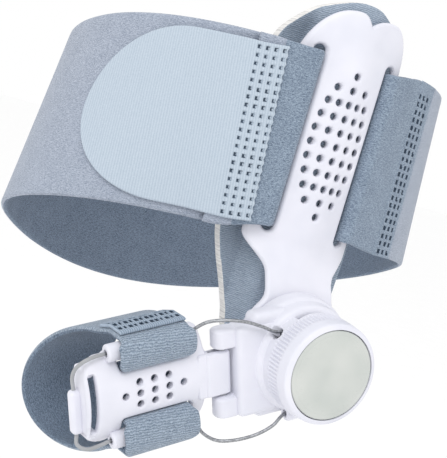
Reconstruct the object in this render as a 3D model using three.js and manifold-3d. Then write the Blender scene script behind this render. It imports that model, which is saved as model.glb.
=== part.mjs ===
// Bunion corrector: a plate strapped to the side of the foot, a tightening dial at the big toe joint,
// and a hinged toe splint that a wire pulls outwards. Millimetres, +Z up along the plate, -Y out of it.
import * as THREE from "three";
import { mergeVertices } from "three/addons/utils/BufferGeometryUtils.js";
import Module from "manifold-3d";

const wasm = await Module();
wasm.setup();

// Foot loop: two half ellipses seen from above, wound with a straight band that flares and drops to the back.
const loopHalfLeft = 62.7;
const loopHalfRight = 61.2;
const loopHalfY = 50.1;
const loopFrontY = 0.7;
const loopCentreX = -0.9;
const loopBehind = 48.7;
const loopDropBack = 39;
const dropPowerLeft = 1.55;
const dropPowerRight = 1.5;
const sagLeft = -1.5;
const sagRight = 0.15;
const flareLeft = 0.146;
const flareRight = 0.162;
const strapWidth = 52;
const strapAtSlot = 48.8;
const strapThick = 2;
const layerGap = 0.3;

// Foot plate.
const plateThick = 2.2;
const plateHalf = 17.3;
const plateArch = 32;
const ridgeHigh = 0.9;
const ridgeHalf = 9;
const lobeTop = 37.2;
const lobeLeft = { at: 0.24, start: 18 };
const lobeRight = { at: 0.52, start: 24 };
const notchDeep = 2.9;
const waistHalf = 11;
const baseRadius = 16.5;
const baseForward = 5.5;
const slotInner = 10.2;
const slotOuter = 13.5;
const slotHalf = 26;
const holeRadius = 1.25;
const holePitch = 3.96;

// Dial axis, and the heights of the pieces above the plate's round base.
const dialZ = -55.1;
const swivelRest = 20.4;
const knobRadius = 14;
const knobBottom = 12.8;
const knobTop = 22;
const capRadius = 12;
const housingTop = 12.4;
const guideUpper = 9.9;
const guideUpperHigh = 10.3;
const guideLower = -14.3;
const guideLowerHigh = 8.4;

// Toe hinge and toe splint. The splint is measured from a line just beyond the hinge pin.
const pinReach = 22.2;
const hingeReach = 23.4;
const hingeHigh = 3.8;
const hingeRest = 3.7;
const knuckleRadius = 2.9;
const pinRadius = 1.05;
const splintThick = 2.4;
const splintArch = 18;
const splintHalf = 13;
const stripHalf = 6.2;
const splintNear = 3.9;
const slotNear = 8.1;
const slotFar = 28;
const splintFar = 37;
const barOffset = 11.7;
const barHigh = -1.3;
const barRadius = 2.3;
const wireRadius = 0.6;
const boreRadius = 0.95;
const toeStrapThick = 1.6;

const white = { color: 0xf2f3f7, roughness: 0.42, metalness: 0 };
const felt = { color: 0x8f9cab, roughness: 0.95, metalness: 0 };
const rad = THREE.MathUtils.degToRad;
const step = THREE.MathUtils.smoothstep;

// A closed solid of only positions, turned so that its faces point out.
function solid(geometry) {
  const bare = new THREE.BufferGeometry();
  const flat = geometry.index ? geometry.toNonIndexed() : geometry;
  bare.setAttribute("position", flat.getAttribute("position").clone());
  const merged = mergeVertices(bare, 1e-4);
  const tri = new Uint32Array(merged.index.array);
  const p = merged.getAttribute("position").array;
  let volume = 0;
  for (let i = 0; i < tri.length; i += 3) {
    const [a, b, c] = [tri[i] * 3, tri[i + 1] * 3, tri[i + 2] * 3];
    volume += p[a] * (p[b + 1] * p[c + 2] - p[b + 2] * p[c + 1]);
    volume -= p[a + 1] * (p[b] * p[c + 2] - p[b + 2] * p[c]);
    volume += p[a + 2] * (p[b] * p[c + 1] - p[b + 1] * p[c]);
  }
  if (volume < 0) {
    for (let i = 0; i < tri.length; i += 3) [tri[i + 1], tri[i + 2]] = [tri[i + 2], tri[i + 1]];
  }
  return new wasm.Manifold(new wasm.Mesh({ numProp: 3, vertProperties: p, triVerts: tri }));
}

function geometryOf(manifold) {
  const mesh = manifold.getMesh();
  const geometry = new THREE.BufferGeometry();
  geometry.setAttribute("position", new THREE.BufferAttribute(new Float32Array(mesh.vertProperties), 3));
  geometry.setIndex(new THREE.BufferAttribute(new Uint32Array(mesh.triVerts), 1));
  const flat = geometry.toNonIndexed();
  flat.computeVertexNormals();
  return flat;
}

const unite = (list) => list.reduce((whole, next) => whole.add(next));

function piece(name, manifold, look) {
  const mesh = new THREE.Mesh(geometryOf(manifold), new THREE.MeshStandardMaterial(look));
  mesh.name = name;
  return mesh;
}

// Block between two corners, cylinder between two points, both as solids.
function block(x0, x1, y0, y1, z0, z1) {
  const geometry = new THREE.BoxGeometry(x1 - x0, y1 - y0, z1 - z0);
  return solid(geometry.translate((x0 + x1) / 2, (y0 + y1) / 2, (z0 + z1) / 2));
}

function rod(from, to, radius, sides, endRadius = radius) {
  const a = new THREE.Vector3(...from);
  const b = new THREE.Vector3(...to);
  const along = b.clone().sub(a);
  const geometry = new THREE.CylinderGeometry(endRadius, radius, along.length(), sides);
  const turn = new THREE.Quaternion().setFromUnitVectors(new THREE.Vector3(0, 1, 0), along.clone().normalize());
  geometry.applyQuaternion(turn);
  return solid(geometry.translate(...a.add(b).multiplyScalar(0.5).toArray()));
}

// Solid between two sheets of points that share a grid: at(u, v, side), side 0 in front and 1 behind.
function sheetSolid(nu, nv, at) {
  const points = [];
  for (const side of [0, 1]) {
    for (let j = 0; j <= nv; j++) {
      for (let i = 0; i <= nu; i++) points.push(...at(i / nu, j / nv, side));
    }
  }
  const id = (i, j, side) => side * (nu + 1) * (nv + 1) + j * (nu + 1) + i;
  const index = [];
  const quad = (a, b, c, d) => index.push(a, b, c, a, c, d);
  for (let j = 0; j < nv; j++) {
    for (let i = 0; i < nu; i++) {
      quad(id(i, j, 0), id(i + 1, j, 0), id(i + 1, j + 1, 0), id(i, j + 1, 0));
      quad(id(i, j, 1), id(i, j + 1, 1), id(i + 1, j + 1, 1), id(i + 1, j, 1));
    }
  }
  for (let i = 0; i < nu; i++) {
    quad(id(i, 0, 1), id(i + 1, 0, 1), id(i + 1, 0, 0), id(i, 0, 0));
    quad(id(i, nv, 0), id(i + 1, nv, 0), id(i + 1, nv, 1), id(i, nv, 1));
  }
  for (let j = 0; j < nv; j++) {
    quad(id(0, j, 0), id(0, j + 1, 0), id(0, j + 1, 1), id(0, j, 1));
    quad(id(nu, j, 1), id(nu, j + 1, 1), id(nu, j + 1, 0), id(nu, j, 0));
  }
  const geometry = new THREE.BufferGeometry();
  geometry.setAttribute("position", new THREE.Float32BufferAttribute(points, 3));
  geometry.setIndex(index);
  return solid(geometry);
}

// Solid swept through stations of four corners each, capped at both ends.
function bandSolid(stations) {
  const last = stations.length - 1;
  return sheetSolid(1, last, (u, v, side) => {
    const corners = stations[Math.round(v * last)];
    return corners[side * 2 + Math.round(u)];
  });
}

// Wire of round section along a smooth curve through the given points.
function wire(points, steps) {
  const ring = [];
  for (let i = 0; i < 8; i++) {
    ring.push(new THREE.Vector2(wireRadius * Math.cos((i * Math.PI) / 4), wireRadius * Math.sin((i * Math.PI) / 4)));
  }
  const path = new THREE.CatmullRomCurve3(points.map((p) => new THREE.Vector3(...p)), false, "centripetal");
  return solid(new THREE.ExtrudeGeometry(new THREE.Shape(ring), { steps, extrudePath: path }));
}

// A value read from a short table of rows, with the named columns key and value.
function fromTable(rows, key, value, at) {
  if (at <= rows[0][key]) return rows[0][value];
  for (let i = 1; i < rows.length; i++) {
    if (at <= rows[i][key]) {
      const part = (at - rows[i - 1][key]) / (rows[i][key] - rows[i - 1][key]);
      return THREE.MathUtils.lerp(rows[i - 1][value], rows[i][value], part);
    }
  }
  return rows[rows.length - 1][value];
}

// Foot plate: arched across with a low ridge, flat and stepped forward at its round base.
function plateFront(x, z) {
  const arch = plateArch - Math.sqrt(plateArch * plateArch - x * x);
  const ridge = (ridgeHigh * (1 - Math.cos((Math.PI * Math.min(Math.abs(x), ridgeHalf)) / ridgeHalf))) / 2;
  const curved = step(z, -43, -27);
  return curved * (arch + ridge) - baseForward * (1 - step(z, -47, -27));
}

function plateHalfAt(z) {
  const waist = waistHalf + (plateHalf - waistHalf) * step(z, -36.5, -27.5);
  const inBase = baseRadius * baseRadius - (z - dialZ) * (z - dialZ);
  const base = Math.sqrt(Math.max(inBase, 0));
  return z < dialZ ? Math.max(base, 0.6) : Math.max(waist, base);
}

function plateTopAt(s) {
  const lobe = s < 0 ? lobeLeft : lobeRight;
  const far = Math.abs(s);
  if (far < lobe.at) return lobeTop - notchDeep * Math.pow(1 - far / lobe.at, 2.7);
  const out = (far - lobe.at) / (1 - lobe.at);
  return lobe.start + (lobeTop - lobe.start) * Math.sqrt(1 - out * out);
}

function hole(x, z, radius, sides) {
  return rod([x, -14, z], [x, 16, z], radius, sides);
}

function slotCutter(x0, x1, half) {
  const r = (x1 - x0) / 2;
  const shape = new THREE.Shape();
  shape.absarc((x0 + x1) / 2, half - r, r, 0, Math.PI);
  shape.absarc((x0 + x1) / 2, r - half, r, Math.PI, 2 * Math.PI);
  const geometry = new THREE.ExtrudeGeometry(shape, { depth: 40, bevelEnabled: false, curveSegments: 6 });
  return solid(geometry.rotateX(Math.PI / 2).translate(0, 20, 0));
}

// Hole field: rows from the top, each with its number of holes and the spacing across.
const holeRows = [
  { count: 1, spacing: 4 },
  { count: 3, spacing: 4.6 },
  { count: 5, spacing: 3.05 },
  { count: 5, spacing: 3.45 },
  { count: 5, spacing: 3.7 },
  { count: 5, spacing: 3.75 },
  { count: 5, spacing: 3.7 },
  { count: 5, spacing: 3.45 },
  { count: 5, spacing: 3.05 },
  { count: 3, spacing: 4.5 },
  { count: 1, spacing: 4 },
];

function footPlate() {
  const bottom = dialZ - baseRadius + 0.1;
  const body = sheetSolid(18, 28, (u, v, side) => {
    const s = 2 * u - 1;
    const z = THREE.MathUtils.lerp(bottom, plateTopAt(s), v);
    const x = s * plateHalfAt(z);
    return [x, plateFront(x, z) + side * plateThick, z];
  });
  const cutters = [slotCutter(slotInner, slotOuter, slotHalf), slotCutter(-slotOuter, -slotInner, slotHalf)];
  holeRows.forEach((row, k) => {
    for (let i = 0; i < row.count; i++) {
      const x = (i - (row.count - 1) / 2) * row.spacing;
      cutters.push(hole(x, 0.6 + (5 - k) * holePitch, holeRadius, 8));
    }
  });
  cutters.push(hole(0, dialZ, 4.3, 20));
  return body.subtract(unite(cutters));
}

// Liner behind the plate: width to the left and to the right by height. It is fuller low on the right.
const padRows = [
  { z: -64, left: 3, right: 4 },
  { z: -62.5, left: 8, right: 9 },
  { z: -57, left: 11.6, right: 15 },
  { z: -50, left: 13, right: 19.4 },
  { z: -44, left: 15.4, right: 21.6 },
  { z: -36, left: 19, right: 22.2 },
  { z: -28, left: 21.6, right: 22.5 },
  { z: -16, left: 22.5, right: 22.5 },
  { z: 18, left: 22.5, right: 22.5 },
  { z: 25, left: 20.9, right: 20.4 },
  { z: 31, left: 17.5, right: 16.6 },
  { z: 36, left: 12.4, right: 11 },
  { z: 39, left: 6.5, right: 5 },
  { z: 40, left: 2, right: 1 },
];
const padThick = 3.2;

// Its front lies on the plate's back in the middle and falls away behind the strap, less so above it.
function padFront(x, z) {
  const near = plateThick + 0.4 + plateFront(Math.min(Math.abs(x), 13.5), 0);
  const away = step(Math.abs(x), 8.6, 13.5) * (1 - 0.62 * step(z, 26, 36));
  return near + (12.1 - near) * away;
}

function footPad() {
  return sheetSolid(20, 20, (u, v, side) => {
    const z = THREE.MathUtils.lerp(-64, 40, 0.5 - 0.5 * Math.cos(Math.PI * v));
    const x = (2 * u - 1) * fromTable(padRows, "z", u < 0.5 ? "left" : "right", z);
    return [x, padFront(x, z) + side * padThick, z];
  });
}

// Foot loop, by angle from the front: place, outward normal, and the band's height there.
const loopHalfX = (angle) => (angle < 0 ? loopHalfLeft : loopHalfRight);

function loopAt(angle) {
  const x = loopCentreX + loopHalfX(angle) * Math.sin(angle);
  const y = loopFrontY + loopHalfY * (1 - Math.cos(angle));
  const normal = new THREE.Vector2(loopHalfY * Math.sin(angle), -loopHalfX(angle) * Math.cos(angle)).normalize();
  return { x, y, normal };
}

function loopLength(angle) {
  let sum = 0;
  const parts = 40;
  for (let i = 0; i < parts; i++) {
    const a = (angle * (i + 0.5)) / parts;
    sum += Math.hypot(loopHalfX(angle) * Math.cos(a), loopHalfY * Math.sin(a)) * (Math.abs(angle) / parts);
  }
  return sum;
}

const loopLeft = loopLength(-Math.PI);
const loopRight = loopLength(Math.PI);

function loopDrop(angle) {
  const run = loopLength(angle);
  const part = Math.min(run / (angle < 0 ? loopLeft : loopRight), 1);
  const back = (1 - Math.cos(Math.PI * Math.pow(part, angle < 0 ? dropPowerLeft : dropPowerRight))) / 2;
  const sag = (angle < 0 ? sagLeft : sagRight) * step(run, 10, 28) * (1 - step(run, 75, 130));
  return sag - loopDropBack * back;
}

// Half the band's height: narrow where it goes through a slot, and more where the band runs aslant.
function bandHalfAt(angle) {
  const side = angle < 0 ? -1 : 1;
  const from = Math.max(Math.abs(angle) - 0.02, 0) * side;
  const to = (Math.abs(angle) + 0.02) * side;
  const rise = loopDrop(to) - loopDrop(from);
  const run = loopLength(to) - loopLength(from);
  const width = strapAtSlot + (strapWidth - strapAtSlot) * step(loopLength(angle), 14, 28);
  return (width / 2) * Math.hypot(1, rise / run);
}

// Point on the loop at an offset outwards and a height above the band's centre line.
function loopPoint(angle, out, w) {
  const at = loopAt(angle);
  const z = loopDrop(angle) + w;
  const flare = angle < 0 ? flareLeft : flareRight;
  const spread = -at.normal.x * Math.abs(at.normal.x) * z * flare;
  return [at.x + at.normal.x * out + spread, at.y + at.normal.y * out, z];
}

// The main layer lies inside the ellipse, under the doubled ends.
const mainOffset = -2.6;
const outerOffset = mainOffset + strapThick + layerGap;

// The fold round a slot's bar: across from the middle line and depth behind the ridge.
const foldRows = [
  { across: 24.5, depth: 9.5 },
  { across: 19.2, depth: 10.7 },
  { across: 15.4, depth: 10.3 },
  { across: 13, depth: 8.6 },
  { across: 11.85, depth: 6 },
  { across: 11.85, depth: 3.2 },
  { across: 12.8, depth: 1.5 },
  { across: 15.2, depth: 2 },
  { across: 19, depth: 3.2 },
];

function footStrap() {
  const path = [];
  const angleAt = (x) => Math.asin((x - loopCentreX) / (x < loopCentreX ? loopHalfLeft : loopHalfRight));
  const add = (angle, out) => {
    const at = loopAt(angle);
    path.push({ x: at.x + at.normal.x * out, y: at.y + at.normal.y * out, angle });
  };
  const rightEnd = rad(46);
  const leftEnd = -rad(27.5);
  for (let i = 0; i <= 5; i++) add(THREE.MathUtils.lerp(rightEnd, angleAt(24), i / 5), outerOffset);
  for (const row of [...foldRows].reverse()) path.push({ x: row.across, y: row.depth, angle: angleAt(row.across) });
  const first = angleAt(31);
  const last = angleAt(-31) + 2 * Math.PI;
  for (let i = 0; i <= 44; i++) {
    const angle = THREE.MathUtils.lerp(first, last, i / 44);
    const signed = angle > Math.PI ? angle - 2 * Math.PI : angle;
    add(signed, mainOffset);
  }
  for (const row of foldRows) path.push({ x: -row.across, y: row.depth, angle: angleAt(-row.across) });
  for (let i = 0; i <= 2; i++) add(THREE.MathUtils.lerp(angleAt(-24), leftEnd, i / 2), outerOffset);
  const stations = path.map((at, i) => {
    const a = path[Math.max(i - 1, 0)];
    const b = path[Math.min(i + 1, path.length - 1)];
    const side = new THREE.Vector2(b.y - a.y, a.x - b.x).normalize();
    const half = bandHalfAt(at.angle);
    const corner = (out, w) => {
      const z = loopDrop(at.angle) + w;
      const normal = loopAt(at.angle).normal;
      const spread = -normal.x * Math.abs(normal.x) * z * (at.angle < 0 ? flareLeft : flareRight);
      return [at.x + side.x * out + spread, at.y + side.y * out, z];
    };
    const t = strapThick / 2;
    return [corner(t, -half), corner(t, half), corner(-t, -half), corner(-t, half)];
  });
  return bandSolid(stations);
}

// Closing tab: full width over the strap's end, then a half-round end lying on the main layer.
function hookTab() {
  const from = -rad(19.5);
  const to = -rad(72);
  const tabHalf = 23.5;
  const lean = 0.08;
  return sheetSolid(6, 20, (u, v, side) => {
    const t = 1 - Math.pow(1 - v, 1.5);
    const angle = THREE.MathUtils.lerp(from, to, t);
    const round = Math.max((t - 0.5) / 0.5, 0);
    const half = Math.max(tabHalf * Math.sqrt(1 - round * round), 1);
    const over = 1 - step(t, 0.18, 0.34);
    const out = mainOffset + strapThick / 2 + layerGap + over * (strapThick + layerGap) + (1 - side);
    const w = (2 * u - 1) * half;
    const shift = (lean * (tabHalf - w)) / loopHalfLeft;
    return loopPoint(angle + shift, out, w);
  });
}

// Housing in the dial's frame: x across, y up, z out of the plate's base.
function housing() {
  const body = [
    rod([0, 0, 0.4], [0, 0, 5], 16.2, 48),
    rod([0, 0, 4.9], [0, 0, 9.4], 15, 48),
    rod([0, 0, 9.3], [0, 0, housingTop], 13.4, 48),
    rod([0, 0, -2.4], [0, 0, 0.5], 4, 20),
    block(-19.6, -8, -13, 12, 0.8, 8.2),
  ];
  for (const side of [1, -1]) {
    const low = side > 0 ? 6.2 : -13.1;
    const high = side > 0 ? 12 : -6.8;
    body.push(rod([-pinReach, low, hingeHigh], [-pinReach, high, hingeHigh], knuckleRadius, 20));
    body.push(block(-pinReach, -18, low, high, 0.9, 6.7));
    body.push(block(-14.4, -3, side > 0 ? 7.6 : -14.6, side > 0 ? 14.6 : -7.6, 1, 7.4));
  }
  body.push(rod([-6.4, guideLower, guideLowerHigh - 0.2], [-1, guideLower, guideLowerHigh - 0.2], 2.3, 16));
  const cut = [
    block(-40, -18.8, -6.8, 6.2, -3, 12),
    rod([-pinReach, -20, hingeHigh], [-pinReach, 20, hingeHigh], 1.35, 16),
    rod([0, 0, 8], [0, 0, 14], 2.8, 16),
    block(-3.6, 3.6, 11.6, 16, 10.2, 12.6),
    rod([-14, guideUpper, guideUpperHigh], [-7.2, guideUpper, guideUpperHigh], 1.7, 12),
    rod([-8, guideUpper, guideUpperHigh], [-5, guideUpper, guideUpperHigh], boreRadius, 12),
    rod([-9, guideLower, guideLowerHigh], [-3.4, guideLower, guideLowerHigh], boreRadius, 12),
  ];
  return unite(body).subtract(unite(cut));
}

// Knob with a ribbed edge, a recess for the cap and a short axle.
function dialKnob() {
  const ribs = 48;
  const shape = new THREE.Shape();
  for (let i = 0; i < ribs * 2; i++) {
    const r = i % 2 ? knobRadius - 0.4 : knobRadius;
    const a = (i * Math.PI) / ribs;
    if (i === 0) shape.moveTo(r, 0);
    else shape.lineTo(r * Math.cos(a), r * Math.sin(a));
  }
  const ribbed = new THREE.ExtrudeGeometry(shape, { depth: 6.6, bevelEnabled: false });
  const body = solid(ribbed.translate(0, 0, knobBottom));
  const crown = rod([0, 0, knobBottom + 6.5], [0, 0, knobTop], knobRadius - 0.3, 48, knobRadius - 1.3);
  const axle = rod([0, 0, knobBottom - 3.4], [0, 0, knobBottom + 0.2], 2.4, 16);
  const recess = rod([0, 0, knobTop - 1.5], [0, 0, knobTop + 1], capRadius + 0.25, 48);
  return unite([body, crown, axle]).subtract(recess);
}

function dialCap() {
  const low = knobTop - 1.2;
  const profile = [
    new THREE.Vector2(0, low),
    new THREE.Vector2(capRadius, low),
    new THREE.Vector2(capRadius, knobTop - 0.25),
    new THREE.Vector2(capRadius * 0.6, knobTop + 0.1),
    new THREE.Vector2(0, knobTop + 0.25),
  ];
  return solid(new THREE.LatheGeometry(profile, 48).rotateX(Math.PI / 2).translate(0, 0, 0));
}

// Toe splint in the hinge's frame: -x towards the toe, y up, z out.
function splintFront(h) {
  return 1.2 - (splintArch - Math.sqrt(splintArch * splintArch - h * h));
}

// Hole field of the splint: along from the hinge, and across.
const toeHoles = [
  { along: 10.7, across: [0] },
  { along: 14.8, across: [-2.95, 0, 2.95] },
  { along: 18.9, across: [-2.95, 0, 2.95] },
  { along: 23, across: [-2.95, 0, 2.95] },
  { along: 27.1, across: [0] },
];

const pinX = (hingeReach - pinReach) * Math.cos(rad(hingeRest));
const pinZ = (hingeReach - pinReach) * Math.sin(rad(hingeRest));

function toeSplint() {
  const sheet = sheetSolid(1, 18, (u, v, side) => {
    const h = (2 * v - 1) * splintHalf;
    const a = THREE.MathUtils.lerp(splintNear, splintFar, u);
    return [-a, h, splintFront(h) - side * splintThick];
  });
  const windows = [
    block(-slotFar, -slotNear, stripHalf, 20, -12, 8),
    block(-slotFar, -slotNear, -20, -stripHalf, -12, 8),
    block(-slotNear, -1, 10.4, 20, -2.4, 8),
    block(-slotNear, -1, -20, -10.4, -2.4, 8),
    block(-50, -33.5, 11.4, 20, -12, 8),
    block(-50, -33.5, -20, -11.4, -12, 8),
    block(-50, -35.2, 9.4, 20, -12, 8),
  ];
  const added = [
    sheet.subtract(unite(windows)),
    rod([pinX, -6.4, pinZ], [pinX, 5.8, pinZ], knuckleRadius, 20),
    block(-6, pinX, -6.4, 5.8, -1.6, 1.1),
    block(-splintFar, -34.4, -11.2, 9.2, -8, -2.2),
    block(-39.5, -36.5, -9.6, 2.2, -7.6, -4.4),
  ];
  const cut = [rod([pinX, -9, pinZ], [pinX, 9, pinZ], 1.35, 16)];
  for (const side of [1, -1]) {
    const h = side * barOffset;
    added.push(rod([-31, h, barHigh], [-slotNear - 0.3, h, barHigh], barRadius, 14));
    added.push(block(-10, -6, Math.min(h, h - side * 2), Math.max(h, h - side * 2), -4.6, -2.5));
    cut.push(rod([-33.4, h, barHigh], [-6, h, barHigh], boreRadius, 12));
  }
  cut.push(block(-36.1, -34.8, -8.6, 7.2, -6.5, 4));
  cut.push(rod([-38.1, -12, -6], [-38.1, 5, -6], boreRadius, 12));
  for (const row of toeHoles) {
    for (const h of row.across) cut.push(rod([-row.along, h, -6], [-row.along, h, 6], 1.12, 10));
  }
  return unite(added).subtract(unite(cut));
}

// Toe band: from behind the strip round the upper bar, round the toe, round the lower bar and back behind the strip.
// It drops, widens and shifts to the toe end at the back, bulges past the windows in front of the bars,
// and lines the strip as far as the slot at the toe end.
const toeLoopHigh = 16.4;
const toeLoopLow = 17.6;
const toeLoopDeep = 21;
const toeLoopBack = -17.7;
const toeStrapNear = 8.7;
const toeStrapFar = 27.6;

// Behind the strip: across from its middle, and depth.
const toeLining = [
  { h: 0.4, o: -2.8 },
  { h: 3.4, o: -3.1 },
  { h: 5.7, o: -3.8 },
  { h: 7.1, o: -3.4 },
  { h: 7.42, o: -2.3 },
];

function toePath() {
  const path = [];
  const turn = barRadius + layerGap + toeStrapThick / 2;
  const roll = (i, outer) => {
    const a = Math.PI - (i / 8) * Math.PI * 1.05;
    const wide = Math.cos(a) < 0 ? 1.26 + 0.4 * Math.sin(a) : outer;
    return { h: barOffset + turn * Math.cos(a) * wide, o: barHigh + turn * Math.sin(a) * (a < 0 ? 1 : 1.2) };
  };
  for (const row of toeLining) path.push({ h: row.h, o: row.o });
  for (let i = 0; i <= 8; i++) path.push(roll(i, 1));
  for (let i = 0; i <= 22; i++) {
    const a = THREE.MathUtils.lerp(rad(20), rad(-200), i / 22);
    const o = toeLoopBack + toeLoopDeep * Math.sin(a);
    path.push({ h: (Math.cos(a) > 0 ? toeLoopHigh : toeLoopLow) * Math.cos(a), o });
  }
  for (let i = 8; i >= 0; i--) {
    const at = roll(i, 1.3);
    path.push({ h: -at.h, o: at.o });
  }
  for (const row of [...toeLining].reverse()) path.push({ h: -row.h, o: row.o });
  return path;
}

function toeLean(o) {
  const back = THREE.MathUtils.clamp((-o - 6) / 33, 0, 1);
  return { shift: 12.4 * Math.pow(back, 1.2), drop: -9.5 * back };
}

function toePoint(path, i, out, along) {
  const a = path[Math.max(i - 1, 0)];
  const b = path[Math.min(i + 1, path.length - 1)];
  const side = new THREE.Vector2(a.o - b.o, b.h - a.h).normalize();
  const lean = toeLean(path[i].o);
  const share = THREE.MathUtils.mapLinear(along, toeStrapNear, toeStrapFar, 0.35, 1);
  return [-along - lean.shift * share, path[i].h + lean.drop + side.x * out, path[i].o + side.y * out];
}

function toeStrap() {
  const path = toePath();
  const t = toeStrapThick / 2;
  return bandSolid(
    path.map((at, i) => {
      const bulge = 1.2 * step(at.o, 0.9, 2.2);
      const near = toeStrapNear - bulge;
      const lining = at.o > -5 && Math.abs(at.h) < 6 ? 6.2 : 0;
      const far = toeStrapFar + bulge + lining;
      return [toePoint(path, i, t, near), toePoint(path, i, t, far), toePoint(path, i, -t, near), toePoint(path, i, -t, far)];
    }),
  );
}

// Closing tab of the toe band, lying on its upper side.
function toeTab() {
  const path = toePath();
  const t = toeStrapThick / 2 + layerGap;
  const stations = [];
  for (let i = 13; i <= 17; i++) {
    stations.push([
      toePoint(path, i, t + 0.9, toeStrapNear + 1.5),
      toePoint(path, i, t + 0.9, toeStrapFar - 0.5),
      toePoint(path, i, t, toeStrapNear + 1.5),
      toePoint(path, i, t, toeStrapFar - 0.5),
    ]);
  }
  return bandSolid(stations);
}

// Everything hangs on the middle of the foot loop, which is the part's origin.
const bunionCorrector = new THREE.Group();
const foot = new THREE.Group();
foot.position.set(0, -loopBehind, 0);
bunionCorrector.add(foot);
foot.add(piece("foot_plate", footPlate(), white));
foot.add(piece("foot_pad", footPad(), { color: 0xa9adb0, roughness: 0.95, metalness: 0 }));
foot.add(piece("foot_strap", footStrap(), felt));
foot.add(piece("hook_tab", hookTab(), { color: 0xaebac6, roughness: 0.7, metalness: 0 }));

// Dial frame: z out of the plate, turned about the dial's axis to the toe's side.
const dial = new THREE.Group();
dial.position.set(0, -baseForward, dialZ);
dial.rotation.x = Math.PI / 2;
foot.add(dial);
const swivel = new THREE.Group();
swivel.rotation.z = rad(swivelRest);
dial.add(swivel);
swivel.add(piece("housing", housing(), white));
swivel.add(piece("dial_knob", dialKnob(), white));
swivel.add(piece("dial_cap", dialCap(), { color: 0xc3cfca, roughness: 0.3, metalness: 0.1 }));

const toe = new THREE.Group();
toe.position.set(-hingeReach, 0, hingeHigh);
toe.rotation.y = rad(hingeRest);
swivel.add(toe);
toe.add(piece("toe_splint", toeSplint(), white));
toe.add(piece("toe_strap", toeStrap(), felt));
toe.add(piece("toe_tab", toeTab(), { color: 0x7f92a6, roughness: 0.7, metalness: 0 }));

const pin = rod([-pinReach, -12.9, hingeHigh], [-pinReach, 11.8, hingeHigh], pinRadius, 16);
swivel.add(piece("hinge_pin", pin, { color: 0xd9dadd, roughness: 0.3, metalness: 0.9 }));

// Wire: bowed free runs from the guides to the bars, and the turns round the toe end into the flap.
const steel = { color: 0xb9bcc0, roughness: 0.35, metalness: 0.85 };
const toeTurn = new THREE.Matrix4().makeRotationY(rad(hingeRest));
const fromToe = (p) => {
  const v = new THREE.Vector3(...p).applyMatrix4(toeTurn);
  return [v.x - hingeReach, v.y, v.z + hingeHigh];
};
const upperRun = [
  fromToe([-8.1, barOffset, barHigh]),
  [-29.4, 13.1, 3.8],
  [-26.8, 14.4, 4.8],
  [-23.4, 14.8, 6.4],
  [-17.8, 14.1, 8.9],
  [-13, 12, 9.9],
  [-10.2, 10.2, 10.3],
  [-7.6, guideUpper, guideUpperHigh],
];
const lowerRun = [
  fromToe([-8.1, -barOffset, barHigh]),
  [-30, -13.4, 3.3],
  [-28.8, -16.4, 3.5],
  [-25.4, -18.9, 4.7],
  [-21.6, -19.4, 6.2],
  [-15.1, -18.6, 8],
  [-9.8, -17, 8.6],
  [-7.7, -15.2, 8.5],
  [-6.7, guideLower, guideLowerHigh],
];
swivel.add(piece("cable_upper", wire(upperRun, 16), steel));
swivel.add(piece("cable_lower", wire(lowerRun, 18), steel));

const sheath = { color: 0xe4e5e8, roughness: 0.4, metalness: 0.1 };
const endRun = [
  [-31.3, barOffset, barHigh],
  [-34.2, 11.7, -1],
  [-36.9, 11.1, -1],
  [-38.4, 9.2, -2.6],
  [-38.6, 6.2, -4.8],
  [-38.1, 2.5, -6],
];
toe.add(piece("cable_end_upper", wire(endRun, 12), sheath));
const lowRun = [
  [-31.3, -barOffset, barHigh],
  [-34.2, -12, -1.1],
  [-37.2, -12.6, -2.2],
  [-38.6, -12, -5],
  [-38.1, -9.9, -6],
];
toe.add(piece("cable_end_lower", wire(lowRun, 12), sheath));

export default bunionCorrector;
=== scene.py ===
import math

import bmesh
import bpy
import numpy as np
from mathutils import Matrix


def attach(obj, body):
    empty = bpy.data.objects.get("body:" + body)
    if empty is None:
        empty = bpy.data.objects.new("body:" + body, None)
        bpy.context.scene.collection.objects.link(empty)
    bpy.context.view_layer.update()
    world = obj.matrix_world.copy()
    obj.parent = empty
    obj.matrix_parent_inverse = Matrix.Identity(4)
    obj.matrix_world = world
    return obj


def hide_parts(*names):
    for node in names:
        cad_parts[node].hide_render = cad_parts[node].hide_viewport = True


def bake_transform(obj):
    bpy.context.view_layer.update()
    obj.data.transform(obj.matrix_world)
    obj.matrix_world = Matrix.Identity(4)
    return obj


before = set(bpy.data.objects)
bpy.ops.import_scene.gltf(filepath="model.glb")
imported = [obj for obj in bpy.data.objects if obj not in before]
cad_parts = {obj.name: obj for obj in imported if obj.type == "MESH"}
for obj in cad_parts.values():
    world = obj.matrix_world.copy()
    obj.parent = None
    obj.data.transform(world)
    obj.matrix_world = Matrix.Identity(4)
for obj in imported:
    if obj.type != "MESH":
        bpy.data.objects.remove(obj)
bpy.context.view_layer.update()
scene = bpy.context.scene
mm = 0.001

# Camera at the photograph's angle. The image is 447 x 458, so the sensor lies on its height.
cameraSet = {"place": (-0.17219, -0.29539, 0.00214), "turn": (83.7636, -16.3616, -28.7024), "lens": 86.46}


def makeCamera(values):
    # camera with this lens at the fitted place and turn
    data = bpy.data.cameras.new("photoCamera")
    data.lens = values["lens"]
    data.clip_start = 0.01
    camera = bpy.data.objects.new("photoCamera", data)
    camera.location = values["place"]
    camera.rotation_euler = [math.radians(angle) for angle in values["turn"]]
    scene.collection.objects.link(camera)
    scene.camera = camera


makeCamera(cameraSet)
print("camera set")


# Shared maths


def ramp(x, low, high):
    # 0 before low, 1 after high, and the cubic 3t^2 - 2t^3 between
    t = np.clip((x - low) / (high - low), 0, 1)
    return t * t * (3 - 2 * t)


def unit(v):
    # vectors brought to length 1
    return v / np.maximum(np.linalg.norm(v, axis=-1, keepdims=True), 1e-9)


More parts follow.
